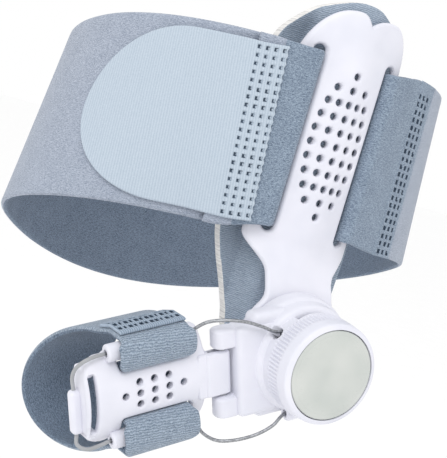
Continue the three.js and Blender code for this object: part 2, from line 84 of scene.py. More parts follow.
def roundEnd(away, lip):
    # quarter circle: sqrt(1 - (1 - t)^2), where t grows from 0 at the end to 1 a lip's width away from it
    return np.sqrt(1 - (1 - np.clip(away / lip, 0, 1)) ** 2)


def closeEnds(count):
    # -1 to 1 by the sine of even steps, so that points lie closer towards both ends
    return np.sin(np.linspace(-np.pi / 2, np.pi / 2, count))


def centred(count, pitch):
    # evenly spaced places round 0
    return pitch * (np.arange(count) - (count - 1) / 2)


def lifted(p):
    # points of a plan with a height of 0
    return np.concatenate([p, np.zeros((len(p), 1))], 1)


def runOf(line):
    # length walked along a line at each of its points
    return np.concatenate([[0], np.cumsum(np.linalg.norm(np.diff(line, axis=0), axis=1))])


def smoothLine(points, count):
    # cubic through the points: Hermite pieces with slopes from both neighbours, spaced by the chord's root
    p = np.asarray(points, float)
    t = np.concatenate([[0], np.cumsum(np.sqrt(np.linalg.norm(np.diff(p, axis=0), axis=1)))])
    slope = np.gradient(p, t, axis=0)
    s = np.linspace(0, t[-1], count)
    i = np.clip(np.searchsorted(t, s, side="right") - 1, 0, len(t) - 2)
    h = (t[i + 1] - t[i])[:, None]
    u = (s - t[i])[:, None] / h
    start = (2 * u**3 - 3 * u**2 + 1) * p[i] + (u**3 - 2 * u**2 + u) * h * slope[i]
    return start + (3 * u**2 - 2 * u**3) * p[i + 1] + (u**3 - u**2) * h * slope[i + 1]


def atRun(line, s, dims=2):
    # points of a line at the walked lengths s, measured on its first dims columns
    run = runOf(line[:, :dims])
    return np.stack([np.interp(s, run, line[:, k]) for k in range(line.shape[1])], -1)


def endedRun(length, step, lip):
    # stations along a strip, every step, with four close ones at each end for a rounded lip
    close = lip * np.array([0, 0.08, 0.3, 0.62])
    middle = np.linspace(lip, length - lip, max(int(length / step), 3))
    s = np.concatenate([close, middle, length - close[::-1]])
    return s, roundEnd(np.minimum(s, length - s), lip)


def roundCorners(corners, radius, steps=6):
    # each inner corner p becomes the curve (1-t)^2 (p + r a) + 2t(1-t) p + t^2 (p + r b), a and b towards
    # its neighbours
    p = np.asarray(corners, float)
    r = np.broadcast_to(np.asarray(radius, float), (len(p) - 2,))[:, None, None]
    t = np.linspace(0, 1, steps)[None, :, None]
    mid = p[1:-1, None]
    before = mid + r * unit(p[:-2] - p[1:-1])[:, None]
    after = mid + r * unit(p[2:] - p[1:-1])[:, None]
    bent = (1 - t) ** 2 * before + 2 * t * (1 - t) * mid + t**2 * after
    return np.concatenate([p[:1], bent.reshape(-1, p.shape[1]), p[-1:]])


# Frames: foot plate, dial and toe splint, each in millimetres
frames = {
    "footBack": 48.7, "dialOut": 54.2, "dialHigh": -55.1, "swivel": 20.4,
    "hinge": 3.7, "hingeX": -23.4, "hingeZ": 3.8,
}


def fromFoot(p):
    # the plate's frame, moved forward to the loop's front
    return np.asarray(p, float) - np.array([0, frames["footBack"], 0])


def fromDial(p):
    # turned about the dial's axis by the swivel angle; z of the dial points along -Y
    x, y, z = np.moveaxis(np.asarray(p, float), -1, 0)
    c, s = math.cos(math.radians(frames["swivel"])), math.sin(math.radians(frames["swivel"]))
    return np.stack([x * c - y * s, -z - frames["dialOut"], x * s + y * c + frames["dialHigh"]], -1)


def dialOfToe(p):
    # turned about the hinge's axis by the hinge angle
    x, y, z = np.moveaxis(np.asarray(p, float), -1, 0)
    c, s = math.cos(math.radians(frames["hinge"])), math.sin(math.radians(frames["hinge"]))
    return np.stack([x * c + z * s + frames["hingeX"], y, z * c - x * s + frames["hingeZ"]], -1)


def fromToe(p):
    # the splint's frame, by way of the dial's
    return fromDial(dialOfToe(p))


# Meshes


def gridQuads(rows, cols):
    # corners of every cell of a grid of points
    i, j = np.meshgrid(np.arange(rows - 1), np.arange(cols - 1), indexing="ij")
    k = i * cols + j
    return np.stack([k, k + 1, k + cols + 1, k + cols], -1).reshape(-1, 4)


def gridShell(points, uv, look=0):
    # a grid of points as one surface; seams and poles lie double and are merged later
    rows, cols = points.shape[:2]
    looks = np.broadcast_to(look, (rows - 1, cols - 1)).reshape(-1)
    quads = gridQuads(rows, cols)
    return {"points": points.reshape(-1, 3), "quads": quads, "uv": uv.reshape(-1, 2), "look": looks}


def makePiece(name, shells, looks, sharp, merge=0.004):
    # joins the shells, merges what lies double, turns faces outwards and marks edges above the angle sharp
    first = np.cumsum([0] + [len(s["points"]) for s in shells[:-1]])
    points = np.concatenate([s["points"] for s in shells]) * mm
    quads = np.concatenate([s["quads"] + k for s, k in zip(shells, first)])
    uv = np.concatenate([s["uv"] for s in shells])
    mesh = bpy.data.meshes.new(name)
    mesh.from_pydata(points.tolist(), [], quads.tolist())
    layer = mesh.uv_layers.new(name="surface")
    layer.uv.foreach_set("vector", uv[quads.ravel()].astype(np.float32).ravel())
    mesh.polygons.foreach_set("material_index", np.concatenate([s["look"] for s in shells]).astype(np.int32))
    build = bmesh.new()
    build.from_mesh(mesh)
    bmesh.ops.remove_doubles(build, verts=build.verts, dist=merge * mm)
    bmesh.ops.recalc_face_normals(build, faces=build.faces)
    build.to_mesh(mesh)
    build.free()
    for look in looks:
        mesh.materials.append(look)
    mesh.shade_smooth()
    mesh.set_sharp_from_angle(angle=math.radians(sharp))
    piece = bpy.data.objects.new(name, mesh)
    scene.collection.objects.link(piece)
    return piece


def belong(piece, body, slot, *nodes):
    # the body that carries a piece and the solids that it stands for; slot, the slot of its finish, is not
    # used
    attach(piece, body)
    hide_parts(*nodes)


def denserWall(rows, radius, low, high, count, spare):
    # profile with even rows from low to high on its wall of this radius, in place of its own rows there;
    # spare is how far its own rows keep away below and above
    first = int(np.flatnonzero((rows[:, 0] > radius - 0.1) & (rows[:, 1] > low - spare[0]))[0])
    wall = np.stack([np.full(count, radius), np.linspace(low, high, count)], -1)
    return np.concatenate([rows[:first], wall, rows[first:][rows[first:, 1] > high + spare[1]]])


def latheShell(profile, sides, place, radiusOf=None, look=0):
    # profile rows (radius, height) turned about z; radiusOf(radius, height, angle) may carve it
    angle = np.linspace(0, 2 * np.pi, sides + 1)
    r = np.repeat(profile[:, :1], sides + 1, 1)
    z = np.repeat(profile[:, 1:2], sides + 1, 1)
    a = np.broadcast_to(angle, r.shape)
    if radiusOf:
        r, z = radiusOf(r, z, a)
    points = np.stack([r * np.cos(angle), r * np.sin(angle), z], -1)
    points[:, -1] = points[:, 0]
    return gridShell(place(points), np.stack([r * a, z], -1), look)


def roundBox(low, high, r, place, steps):
    # ball of radius r whose eight eighths are pushed out to the corners of the box, with flat sides between
    low, high = np.asarray(low, float), np.asarray(high, float)
    r = np.minimum(np.broadcast_to(np.asarray(r, float), (3,)), (high - low) / 2)
    half, centre = (high - low) / 2 - r, (high + low) / 2
    quarter = np.linspace(0, np.pi / 2, steps)
    lon = np.concatenate([quarter + q * np.pi / 2 for q in range(4)] + [[2 * np.pi]])
    signX = np.concatenate([np.repeat([1, -1, -1, 1], steps), [1]])
    signY = np.concatenate([np.repeat([1, 1, -1, -1], steps), [1]])
    lat = np.concatenate([quarter - np.pi / 2, quarter])
    signZ = np.repeat([-1, 1], steps)
    x = half[0] * signX + r[0] * np.cos(lat)[:, None] * np.cos(lon)
    y = half[1] * signY + r[1] * np.cos(lat)[:, None] * np.sin(lon)
    z = np.repeat((half[2] * signZ + r[2] * np.sin(lat))[:, None], len(lon), 1)
    body = np.stack([x, y, z], -1)
    cap = np.zeros((1, len(lon), 3))
    points = np.concatenate([cap + [0, 0, z[0, 0]], body, cap + [0, 0, z[-1, 0]]]) + centre
    return gridShell(place(points), points[..., :2] + points[..., 2:])


def tubeShell(line, rings, reference, look):
    # rings across the tangent of a line, their radius a function of run and angle; both ends close to a point
    tangent = unit(np.gradient(line, axis=0))
    side = unit(np.cross(tangent, reference))
    up = np.cross(side, tangent)
    run = runOf(line)
    angle = np.linspace(0, 2 * np.pi, rings["sides"] + 1)
    r = rings["radius"](run[:, None], angle[None])
    r[[0, -1]] = 0
    ring = side[:, None] * np.cos(angle)[:, None] + up[:, None] * np.sin(angle)[:, None]
    points = line[:, None] + r[..., None] * ring
    points[:, -1] = points[:, 0]
    uv = np.stack(np.broadcast_arrays(run[:, None], angle[None] * rings["width"]), -1)
    return gridShell(points, uv, look)


def bandShell(line, across, normal, half, thick, a, lip, dent, look, run, slide=None):
    # strip: over one face and back under the other, place = line + across * half * a + normal * b,
    # with b = +- thick / 2 * sqrt(1 - e^2), e growing from 0 to 1 over the rounded lip of each edge;
    # dent lowers the first face, and slide moves a point along the line's own direction
    both = np.concatenate([a, a[::-1]])
    sign = np.concatenate([np.ones_like(a), -np.ones_like(a)])
    e = np.clip(1 - half[:, None] * (1 - np.abs(both)) / lip, 0, 1)
    b = sign * 0.5 * thick[:, None] * np.sqrt(1 - e * e)
    if dent is not None:
        b[:, : len(a)] -= dent
    wide = half[:, None] * both
    points = line[:, None] + across[:, None] * wide[..., None] + normal[:, None] * b[..., None]
    if slide is not None:
        moved = np.concatenate([slide, slide[:, ::-1]], 1)
        points += unit(np.gradient(line, axis=0))[:, None] * moved[..., None]
    uv = np.stack(np.broadcast_arrays(run[:, None], wide), -1)
    return gridShell(points, uv, look)


def cutSheet(xs, zs, distance, surface, thick, edge):
    # plate cut from a grid: cells whose middle is inside the outline stay, corners on the rim are moved
    # on to the outline along the slope of the distance, and both faces fall away over the last edge(x, z)
    # millimetres
    x, z = np.meshgrid(xs, zs, indexing="ij")
    keep = distance((x[1:, 1:] + x[:-1, :-1]) / 2, (z[1:, 1:] + z[:-1, :-1]) / 2) < 0
    around = np.pad(keep, 1)
    touching = np.stack([around[1:, 1:], around[:-1, 1:], around[1:, :-1], around[:-1, :-1]]).sum(0)
    rim = (touching > 0) & (touching < 4)
    for _ in range(4):
        d = distance(x, z)
        gx = (distance(x + 0.01, z) - distance(x - 0.01, z)) / 0.02
        gz = (distance(x, z + 0.01) - distance(x, z - 0.01)) / 0.02
        size = np.maximum(gx * gx + gz * gz, 0.2)
        x = np.where(rim, x - d * gx / size, x)
        z = np.where(rim, z - d * gz / size, z)
    soft = edge(x, z)
    deep = np.where(rim, 0, np.clip(-distance(x, z), 0, soft))
    fall = soft - np.sqrt(soft**2 - (soft - deep) ** 2)
    front = surface(x, z, fall)
    back = surface(x, z, thick - fall)
    count = x.size
    quads = gridQuads(*x.shape)[keep.ravel()]
    edges = np.stack([quads, np.roll(quads, -1, 1)], -1).reshape(-1, 2)
    _, which, times = np.unique(np.sort(edges, 1), axis=0, return_index=True, return_counts=True)
    border = edges[which[times == 1]]
    wall = np.stack([border[:, 1], border[:, 0], border[:, 0] + count, border[:, 1] + count], -1)
    quads = np.concatenate([quads, quads[:, ::-1] + count, wall])
    points = np.concatenate([front.reshape(-1, 3), back.reshape(-1, 3)])
    used, quads = np.unique(quads, return_inverse=True)
    flat = np.stack([x, z], -1).reshape(-1, 2)
    uv = np.concatenate([flat, flat])
    quads = quads.reshape(-1, 4)
    return {"points": points[used], "quads": quads, "uv": uv[used], "look": np.zeros(len(quads), int)}


# Finishes


def tint(r, g, b):
    # screen colour 0 to 255 as linear light
    c = np.array([r, g, b]) / 255
    c = np.where(c <= 0.04045, c / 12.92, ((c + 0.055) / 1.055) ** 2.4)
    return (*c.tolist(), 1.0)


def addNode(tree, kind, **values):
    # a node with these values, set on its inputs or else on the node itself
    node = tree.nodes.new(kind)
    for key, value in values.items():
        if key in node.inputs:
            node.inputs[key].default_value = value
        else:
            setattr(node, key, value)
    return node


def newGroup(name, numbers, results):
    # node group with a vector input, inputs for numbers and outputs for numbers
    group = bpy.data.node_groups.new(name, "ShaderNodeTree")
    group.interface.new_socket(name="Vector", in_out="INPUT", socket_type="NodeSocketVector")
    for labels, way in ((numbers, "INPUT"), (results, "OUTPUT")):
        for label in labels:
            group.interface.new_socket(name=label, in_out=way, socket_type="NodeSocketFloat")
    return group, addNode(group, "NodeGroupInput"), addNode(group, "NodeGroupOutput")


def mathNode(tree, how, first, second=None):
    # one Math node; each side is a socket or a number
    node = addNode(tree, "ShaderNodeMath", operation=how)
    for k, value in enumerate([first, second]):
        if value is None:
            continue
        if isinstance(value, (int, float)):
            node.inputs[k].default_value = value
        else:
            tree.links.new(value, node.inputs[k])
    return node.outputs[0]


def mixed(tree, first, share, second, other):
    # first times share plus second times other
    parts = [mathNode(tree, "MULTIPLY", first, share), mathNode(tree, "MULTIPLY", second, other)]
    return mathNode(tree, "ADD", *parts)


def fibreGroup():
    # felt: fine noise for single hairs, stretched noise for matted strands, coarse noise for cloudy patches
    group, given, out = newGroup("fibreFuzz", ["Fine", "Coarse"], ["Tone", "Height"])
    fine = addNode(group, "ShaderNodeTexNoise", Detail=1.5, Roughness=0.5)
    coarse = addNode(group, "ShaderNodeTexNoise", Detail=3.0, Roughness=0.6)
    strand = addNode(group, "ShaderNodeTexNoise", Detail=1.0, Roughness=0.5, Distortion=0.8)
    pull = addNode(group, "ShaderNodeMapping", Scale=(0.35, 1.0, 1.0), Rotation=(0, 0, 0.5))
    group.links.new(pull.outputs[0], strand.inputs["Vector"])
    for node in (fine, coarse, pull):
        group.links.new(given.outputs["Vector"], node.inputs["Vector"])
    for node, size in ((fine, "Fine"), (coarse, "Coarse"), (strand, "Fine")):
        group.links.new(given.outputs[size], node.inputs["Scale"])
    hair = mixed(group, fine.outputs[0], 0.5, strand.outputs[0], 0.5)
    group.links.new(mixed(group, hair, 0.9, coarse.outputs[0], 0.1), out.inputs["Tone"])
    group.links.new(hair, out.inputs["Height"])
    return group


def lineGroup():
    # knit or tape: fine lines, height = 0.5 + 0.5 sin(2 pi (v + slant u + wander noise) / pitch)
    group, given, out = newGroup("fineLines", ["Pitch", "Slant", "Wander"], ["Height"])
    split = addNode(group, "ShaderNodeSeparateXYZ")
    noise = addNode(group, "ShaderNodeTexNoise", Scale=0.9, Detail=3.0)
    group.links.new(given.outputs["Vector"], split.inputs[0])
    group.links.new(given.outputs["Vector"], noise.inputs["Vector"])
    lean = mathNode(group, "MULTIPLY", split.outputs[0], given.outputs["Slant"])
    stray = mathNode(group, "MULTIPLY", noise.outputs[0], given.outputs["Wander"])
    place = mathNode(group, "ADD", mathNode(group, "ADD", split.outputs[1], lean), stray)
    turns = mathNode(group, "DIVIDE", place, given.outputs["Pitch"])
    wave = mathNode(group, "SINE", mathNode(group, "MULTIPLY", turns, 2 * math.pi))
    group.links.new(mathNode(group, "ADD", mathNode(group, "MULTIPLY", wave, 0.5), 0.5), out.inputs["Height"])
    return group


def mouldGroup():
    # moulded plastic: slow waviness of the skin and a very fine spark texture
    group, given, out = newGroup("mouldedSkin", ["Grain"], ["Wave", "Spark"])
    wave = addNode(group, "ShaderNodeTexNoise", Scale=90.0, Detail=2.0)
    spark = addNode(group, "ShaderNodeTexNoise", Detail=4.0, Roughness=0.7)
    group.links.new(given.outputs["Grain"], spark.inputs["Scale"])
    for node, label in ((wave, "Wave"), (spark, "Spark")):
        group.links.new(given.outputs["Vector"], node.inputs["Vector"])
        group.links.new(node.outputs[0], out.inputs[label])
    return group


fibreFuzz, fineLines, mouldedSkin = fibreGroup(), lineGroup(), mouldGroup()


def newMaterial(name, coordinate, **shader):
    # a principled material with these values, and the socket of its coordinate
    material = bpy.data.materials.new(name)
    material.use_nodes = True
    tree = material.node_tree
    skin = tree.nodes["Principled BSDF"]
    for key, value in shader.items():
        skin.inputs[key].default_value = value
    return material, tree, skin, addNode(tree, "ShaderNodeTexCoord").outputs[coordinate]


def placed(tree, group, where, **values):
    # one use of a node group on the coordinate where; gives its outputs
    node = addNode(tree, "ShaderNodeGroup")
    node.node_tree = group
    for key, value in values.items():
        node.inputs[key].default_value = value
    tree.links.new(where, node.inputs["Vector"])
    return node.outputs


def twoTone(tree, factor, dark, light, low=0.3, high=0.7):
    # colour ramp from dark at low to light at high
    node = addNode(tree, "ShaderNodeValToRGB")
    node.color_ramp.elements[0].position = low
    node.color_ramp.elements[1].position = high
    node.color_ramp.elements[0].color = tint(*dark)
    node.color_ramp.elements[1].color = tint(*light)
    tree.links.new(factor, node.inputs[0])
    return node.outputs[0]


def addBump(tree, skin, height, strength, far):
    # bump from a height; far is its distance in millimetres
    bump = addNode(tree, "ShaderNodeBump", Strength=strength, Distance=far * mm)
    tree.links.new(height, bump.inputs["Height"])
    tree.links.new(bump.outputs[0], skin.inputs["Normal"])


def spread(tree, factor, low, high):
    # a 0 to 1 value moved to the range low to high
    return mathNode(tree, "ADD", mathNode(tree, "MULTIPLY", factor, high - low), low)


def dress(tree, skin, colour, rough):
    # links a material's colour and roughness
    tree.links.new(colour, skin.inputs["Base Color"])
    tree.links.new(rough, skin.inputs["Roughness"])


def plasticLook(name, dark, light, rough, grain):
    # moulded plastic: two near tones, fine sparkle in roughness and bump
    material, tree, skin, where = newMaterial(name, "Object", **{"Specular IOR Level": 0.42, "IOR": 1.48})
    mould = placed(tree, mouldedSkin, where, Grain=grain)
    colour = twoTone(tree, mould["Wave"], dark, light)
    dress(tree, skin, colour, spread(tree, mould["Spark"], rough - 0.08, rough + 0.1))
    addBump(tree, skin, mould["Spark"], 0.12, 0.05)
    return material


def feltLook(name, dark, light, sheen, fine=4.2, coarse=0.16, bump=0.7):
    # felt: tone, roughness and bump come from the fibre group
    shader = {"Sheen Weight": sheen, "Sheen Roughness": 0.45, "Specular IOR Level": 0.15}
    material, tree, skin, where = newMaterial(name, "UV", **shader)
    fuzz = placed(tree, fibreFuzz, where, Fine=fine, Coarse=coarse)
    colour = twoTone(tree, fuzz["Tone"], dark, light, 0.38, 0.62)
    dress(tree, skin, colour, spread(tree, fuzz["Height"], 0.82, 1.0))
    addBump(tree, skin, fuzz["Height"], bump, 0.5)
    return material


def lineLook(name, dark, light, pitch, slant, wander, sheen, bump, far, rough, turn=0.0, share=0.45):
    # knit or tape: fine lines mixed with fibres, share being the lines' part of the tone
    shader = {"Sheen Weight": sheen, "Sheen Roughness": 0.4, "Specular IOR Level": 0.2}
    material, tree, skin, where = newMaterial(name, "UV", **shader)
    lay = addNode(tree, "ShaderNodeMapping", Rotation=(0, 0, math.radians(turn)))
    tree.links.new(where, lay.inputs["Vector"])
    lines = placed(tree, fineLines, lay.outputs[0], Pitch=pitch, Slant=slant, Wander=wander)
    fuzz = placed(tree, fibreFuzz, where, Fine=3.6, Coarse=0.3)
    tone = mixed(tree, lines["Height"], share, fuzz["Tone"], 1 - share)
    colour = twoTone(tree, tone, dark, light, 0.25, 0.75)
    dress(tree, skin, colour, spread(tree, fuzz["Height"], rough - 0.1, rough + 0.1))
    height = mathNode(tree, "ADD", lines["Height"], mathNode(tree, "MULTIPLY", fuzz["Height"], 0.6))
    addBump(tree, skin, height, bump, far)
    return material


def steelLook(name, dark, light, rough):
    # mottled metal of uneven roughness
    material, tree, skin, where = newMaterial(name, "Object", Metallic=0.85)
    mould = placed(tree, mouldedSkin, where, Grain=1800.0)
    colour = twoTone(tree, mould["Spark"], dark, light)
    dress(tree, skin, colour, spread(tree, mould["Wave"], rough - 0.06, rough + 0.12))
    return material


whitePlastic = plasticLook("whitePlastic", (219, 220, 230), (228, 228, 237), rough=0.44, grain=1500.0)
pearlCap = plasticLook("pearlCap", (190, 195, 191), (203, 206, 202), rough=0.3, grain=900.0)
bandFelt = feltLook("bandFelt", (130, 140, 157), (184, 192, 206), sheen=0.25)
# the band's inner face, darker than its outer one: partly the cloth's own tone, partly painted shade inside
# the loop
bandInsideAndShade = feltLook("bandInsideAndShade", (86, 98, 115), (142, 156, 174), sheen=0.1)
# felt of the slot loops and the weld patch, darker than the band felt: partly the felt's own tone, partly
# painted shade beside the plate
slotFeltAndShade = feltLook("slotFeltAndShade", (90, 105, 124), (162, 177, 194), sheen=0.2)
weldFeltAndShade = feltLook("weldFeltAndShade", (94, 109, 128), (166, 181, 198), sheen=0.2)
# painted shade in the pits of the weld patch and the toe tab: dark felt on their shaded walls and floors,
# partly the darker pressed felt
pitShadeFelt = feltLook("pitShadeFelt", (40, 50, 64), (68, 82, 98), sheen=0.0)
hookTape = lineLook("hookTape", (164, 178, 192), (192, 203, 214), pitch=0.72, slant=0.05, wander=0.35,
                    sheen=0.15, bump=0.15, far=0.1, rough=0.62, turn=90.0, share=0.25)
# painted shade in the hook tab's pits: dark tape on their shaded walls and floors
pitShadeTape = feltLook("pitShadeTape", (56, 68, 82), (88, 101, 117), sheen=0.0)
padKnit = lineLook("padKnit", (108, 122, 139), (186, 199, 214), pitch=0.5, slant=0.0, wander=0.6,
                   sheen=0.15, bump=0.5, far=0.2, rough=0.9, share=0.22)
padEdge = feltLook("padEdge", (206, 205, 204), (242, 240, 237), sheen=0.1, fine=2.5, coarse=0.4,
                   bump=0.6)
toeKnit = lineLook("toeKnit", (82, 98, 117), (184, 198, 214), pitch=0.6, slant=0.1, wander=1.1,
                   sheen=0.25, bump=0.75, far=0.25, rough=0.9, turn=90.0, share=0.2)
toeInside = feltLook("toeInside", (74, 88, 105), (138, 153, 172), sheen=0.15)
toeHook = lineLook("toeHook", (120, 136, 154), (164, 178, 194), pitch=0.6, slant=0.0, wander=0.2,
                   sheen=0.15, bump=0.4, far=0.15, rough=0.75)
wireSteel = steelLook("wireSteel", (112, 114, 118), (186, 188, 192), rough=0.36)
wireSheath = plasticLook("wireSheath", (146, 148, 151), (172, 174, 177), rough=0.4, grain=1200.0)
innerShade = plasticLook("innerShade", (84, 86, 94), (108, 110, 118), rough=0.6, grain=900.0)
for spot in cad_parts["hinge_pin"].material_slots:
    spot.material = wireSteel
print("finishes made")


# Wire: from its guide in the housing to the splint, through the bar, round the toe end and into the flap

wireSet = {"radius": 0.46, "strands": 7, "lay": 5.0, "sides": 42, "step": 0.3, "sheath": 0.5,
           "reference": (0.5, -0.6, 0.62), "linePoints": 900, "pathPoints": 40}
# the sheath starts at this point of the route in the splint, where the wire leaves the bar
sheathFrom = 4


def wireRadius(run, angle):
    # seven strands: r (0.86 + 0.14 |sin(3.5 (angle - turn))|), one full turn every lay
    turn = 2 * np.pi * run / wireSet["lay"]
    return wireSet["radius"] * (0.86 + 0.14 * np.abs(np.sin(0.5 * wireSet["strands"] * (angle - turn))))


# Tube bars of the toe splint, in its own frame: place across and in depth, size, and ends along the splint
barSet = {"across": 11.7, "deep": -1.3, "radius": 2.3, "bore": 0.98, "from": 8.4, "to": 31.0,
          "boreEnd": 0.9, "boreDeep": (2.1, 2.0)}


def inBar(across):
    # the wire's points inside a bar and a little past both of its ends
    return [(-along, across, barSet["deep"]) for along in (8.1, 14, 20, 26, 31.3)]


# points in the dial's frame from the guide, then in the splint's frame, and the stops, two places along the
# route
wireRoutes = {
    "wireUpper": {
        "dial": [(-5.6, 9.9, 10.3), (-7.6, 9.9, 10.3), (-10.2, 10.4, 10.3), (-13, 12, 9.9),
                 (-17.8, 14.1, 8.9), (-23.4, 14.8, 6.4), (-26.8, 14.4, 4.8), (-29.4, 13.1, 3.8)],
        "toe": inBar(barSet["across"]) + [(-34.2, 11.7, -1), (-36.9, 11.1, -1), (-38.4, 9.2, -2.6),
                                          (-38.6, 6.2, -4.8), (-38.1, 2.5, -6), (-37.9, 0.2, -6.2)],
        "stops": (4, 7),
    },
    "wireLower": {
        "dial": [(-4.2, -14.3, 8.4), (-6.5, -14.4, 8.4), (-8.0, -15.3, 8.5), (-10, -16.8, 8.6),
                 (-15.1, -18.6, 8), (-21.6, -19.4, 6.2), (-25.4, -18.9, 4.7), (-28.6, -16.4, 3.5),
                 (-30, -13.4, 3.2)],
        "toe": inBar(-barSet["across"]) + [(-34.2, -12, -1.1), (-37.2, -12.6, -2.2), (-38.6, -12, -5),
                                           (-38.1, -9.9, -6), (-37.9, -7.6, -6.2)],
        "stops": (4, 8),
    },
}


def makeWire(name, nodes):
    # tube round the cubic through a route, bare strands first and the smooth sheath after the bar
    points = np.concatenate([fromDial(wireRoutes[name]["dial"]), fromToe(wireRoutes[name]["toe"])])
    line = smoothLine(points, wireSet["linePoints"])
    length = runOf(line)[-1]
    line = atRun(line, np.linspace(0, length, int(length / wireSet["step"])), 3)
    leave = points[len(wireRoutes[name]["dial"]) + sheathFrom]
    sheathed = runOf(line)[np.linalg.norm(line - leave, axis=1).argmin()]

    def ringRadius(run, angle):
        return np.where(run > sheathed, wireSet["sheath"], wireRadius(run, angle))

    rings = {"sides": wireSet["sides"], "radius": ringRadius, "width": wireSet["radius"]}
    covered = (runOf(line)[1:] > sheathed)[:, None]
    look = np.broadcast_to(covered, (len(line) - 1, wireSet["sides"])).astype(int)
    shell = tubeShell(line, rings, np.array(wireSet["reference"]), look)
    piece = makePiece(name, [shell], [wireSteel, wireSheath], sharp=60, merge=0.002)
    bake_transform(piece)
    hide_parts(*nodes)
    print(name, round(length, 1), "mm long")


makeWire("wireUpper", ["cable_upper", "cable_end_upper"])
makeWire("wireLower", ["cable_lower", "cable_end_lower"])


# Foot loop: two half ellipses from above; the strap's centre line drops to the back and its sides flare

loopSet = {
    "halfLeft": 62.7, "halfRight": 61.2, "halfDepth": 50.1, "front": 0.7, "centre": -0.9, "drop": 39.0,
    "powerLeft": 1.55, "powerRight": 1.5, "sagLeft": -1.5, "sagRight": 0.15, "flareLeft": 0.146,
    "flareRight": 0.162, "width": 52.0, "atSlot": 48.8,
    "sagFrom": (10, 28), "sagTo": (75, 130), "pastSlot": (14, 28), "step": 1.1, "endLip": 0.7,
}
loopTurn = np.linspace(-np.pi, np.pi, 6001)
loopHalf = np.where(loopTurn < 0, loopSet["halfLeft"], loopSet["halfRight"])
loopAcross = loopSet["centre"] + loopHalf * np.sin(loopTurn)
loopBack = loopSet["front"] + loopSet["halfDepth"] * (1 - np.cos(loopTurn))
loopPlan = np.stack([loopAcross, loopBack], 1)
loopRun = runOf(loopPlan)
loopRun = loopRun - np.interp(0, loopTurn, loopRun)
leftLength, rightLength = -loopRun[0], loopRun[-1]


def runAtTurn(degrees):
    # run along the loop at an angle round it
    return float(np.interp(math.radians(degrees), loopTurn, loopRun))


def runAtAcross(x):
    # run along the loop's front half at this x
    front = np.abs(loopTurn) < np.pi / 2
    return float(np.interp(x, loopPlan[front, 0], loopRun[front]))


def loopDrop(s):
    # minus drop (1 - cos(pi t^power)) / 2, t the share of the half loop, plus a slight sag beside the plate
    left = s < 0
    part = np.clip(np.where(left, -s / leftLength, s / rightLength), 0, 1)
    back = (1 - np.cos(np.pi * part ** np.where(left, loopSet["powerLeft"], loopSet["powerRight"]))) / 2
    run = np.abs(s)
    sag = np.where(left, loopSet["sagLeft"], loopSet["sagRight"])
    return sag * ramp(run, *loopSet["sagFrom"]) * (1 - ramp(run, *loopSet["sagTo"])) - loopSet["drop"] * back


def wrapped(s):
    # a run past the back on the left counts as one on the right
    return np.where(s < -leftLength, s + leftLength + rightLength, s)


def loopPlace(s):
    # plan point, outward normal, drop, and the sideways lean per millimetre of height
    s = wrapped(s)
    turn = np.interp(s, loopRun, loopTurn)
    halfX = np.where(turn < 0, loopSet["halfLeft"], loopSet["halfRight"])
    plan = np.stack([np.interp(s, loopRun, loopPlan[:, 0]), np.interp(s, loopRun, loopPlan[:, 1])], -1)
    normal = unit(np.stack([loopSet["halfDepth"] * np.sin(turn), -halfX * np.cos(turn)], -1))
    most = np.where(turn < 0, loopSet["flareLeft"], loopSet["flareRight"])
    flare = -normal[..., 0] * np.abs(normal[..., 0]) * most
    return plan, normal, loopDrop(s), flare


def loopWidth(s, margin):
    # half the strap's upright height: narrow in the slots, and more where the strap runs aslant
    s = wrapped(s)
    slope = loopDrop(s + 0.5) - loopDrop(s - 0.5)
    wide = loopSet["atSlot"] + (loopSet["width"] - loopSet["atSlot"]) * ramp(np.abs(s), *loopSet["pastSlot"])
    return (wide / 2 - margin) * np.hypot(1, slope)


# The fold round a slot's outer bar: across from the plate's middle line, and depth behind its ridge
foldRows = np.array([(19, 3.2), (15.2, 2), (12.8, 1.5), (11.85, 3.2), (11.85, 6), (13, 8.6), (15.4, 10.3),
                     (19.2, 10.7), (24.5, 9.5)])


def uprightOf(flare):
    # direction up the strap, leaning sideways by the flare
    return np.stack([flare, np.zeros_like(flare), np.ones_like(flare)], -1)


def loopStations(runs, out):
    # rows of plan x, plan y and run, at an offset outwards from the loop
    plan, normal, _, _ = loopPlace(runs)
    return np.concatenate([plan + normal * np.reshape(out, (-1, 1)), runs[:, None]], 1)


def foldStations(side):
    # rows of plan x, plan y and run round the slot's bar on one side
    run = np.array([runAtAcross(x) for x in side * foldRows[:, 0]])
    return np.concatenate([foldRows * [side, 1], run[:, None]], 1)


def strapShell(path, thick, lip, margin, lookOf, columns=45):
    # the path's rows carried up and down by half the strap's width, leaning with the loop's flare
    line = smoothLine(path, 4000)
    s, ends = endedRun(runOf(line[:, :2])[-1], loopSet["step"], loopSet["endLip"])
    at = atRun(line, s, 2)
    tangent = unit(np.gradient(at[:, :2], s, axis=0))
    _, _, drop, flare = loopPlace(at[:, 2])
    upright = uprightOf(flare)
    centre = lifted(at[:, :2]) + upright * drop[:, None]
    normal = np.stack([tangent[:, 1], -tangent[:, 0], np.zeros(len(at))], -1)
    a = closeEnds(columns)
    half = loopWidth(at[:, 2], margin)
    look = lookOf((s[1:] + s[:-1]) / 2, columns)
    return bandShell(fromFoot(centre), upright, normal, half, thick * ends, a, lip, None, look, s), s[-1]


bandSet = {
    "thick": 1.9, "leftEnd": -27.5, "rightEnd": 36.4, "outer": -0.3, "inner": -2.6, "endTo": 7.7,
    "feltTo": 36.0, "slotThick": 1.5, "slotFrom": 36.2, "slotTo": 37.5, "slotOuter": -0.25,
    "underWeld": 0.6, "weldEdge": (27.2, 29.0), "rise": (44, 84), "foldFrom": 24, "foldTo": 31,
}


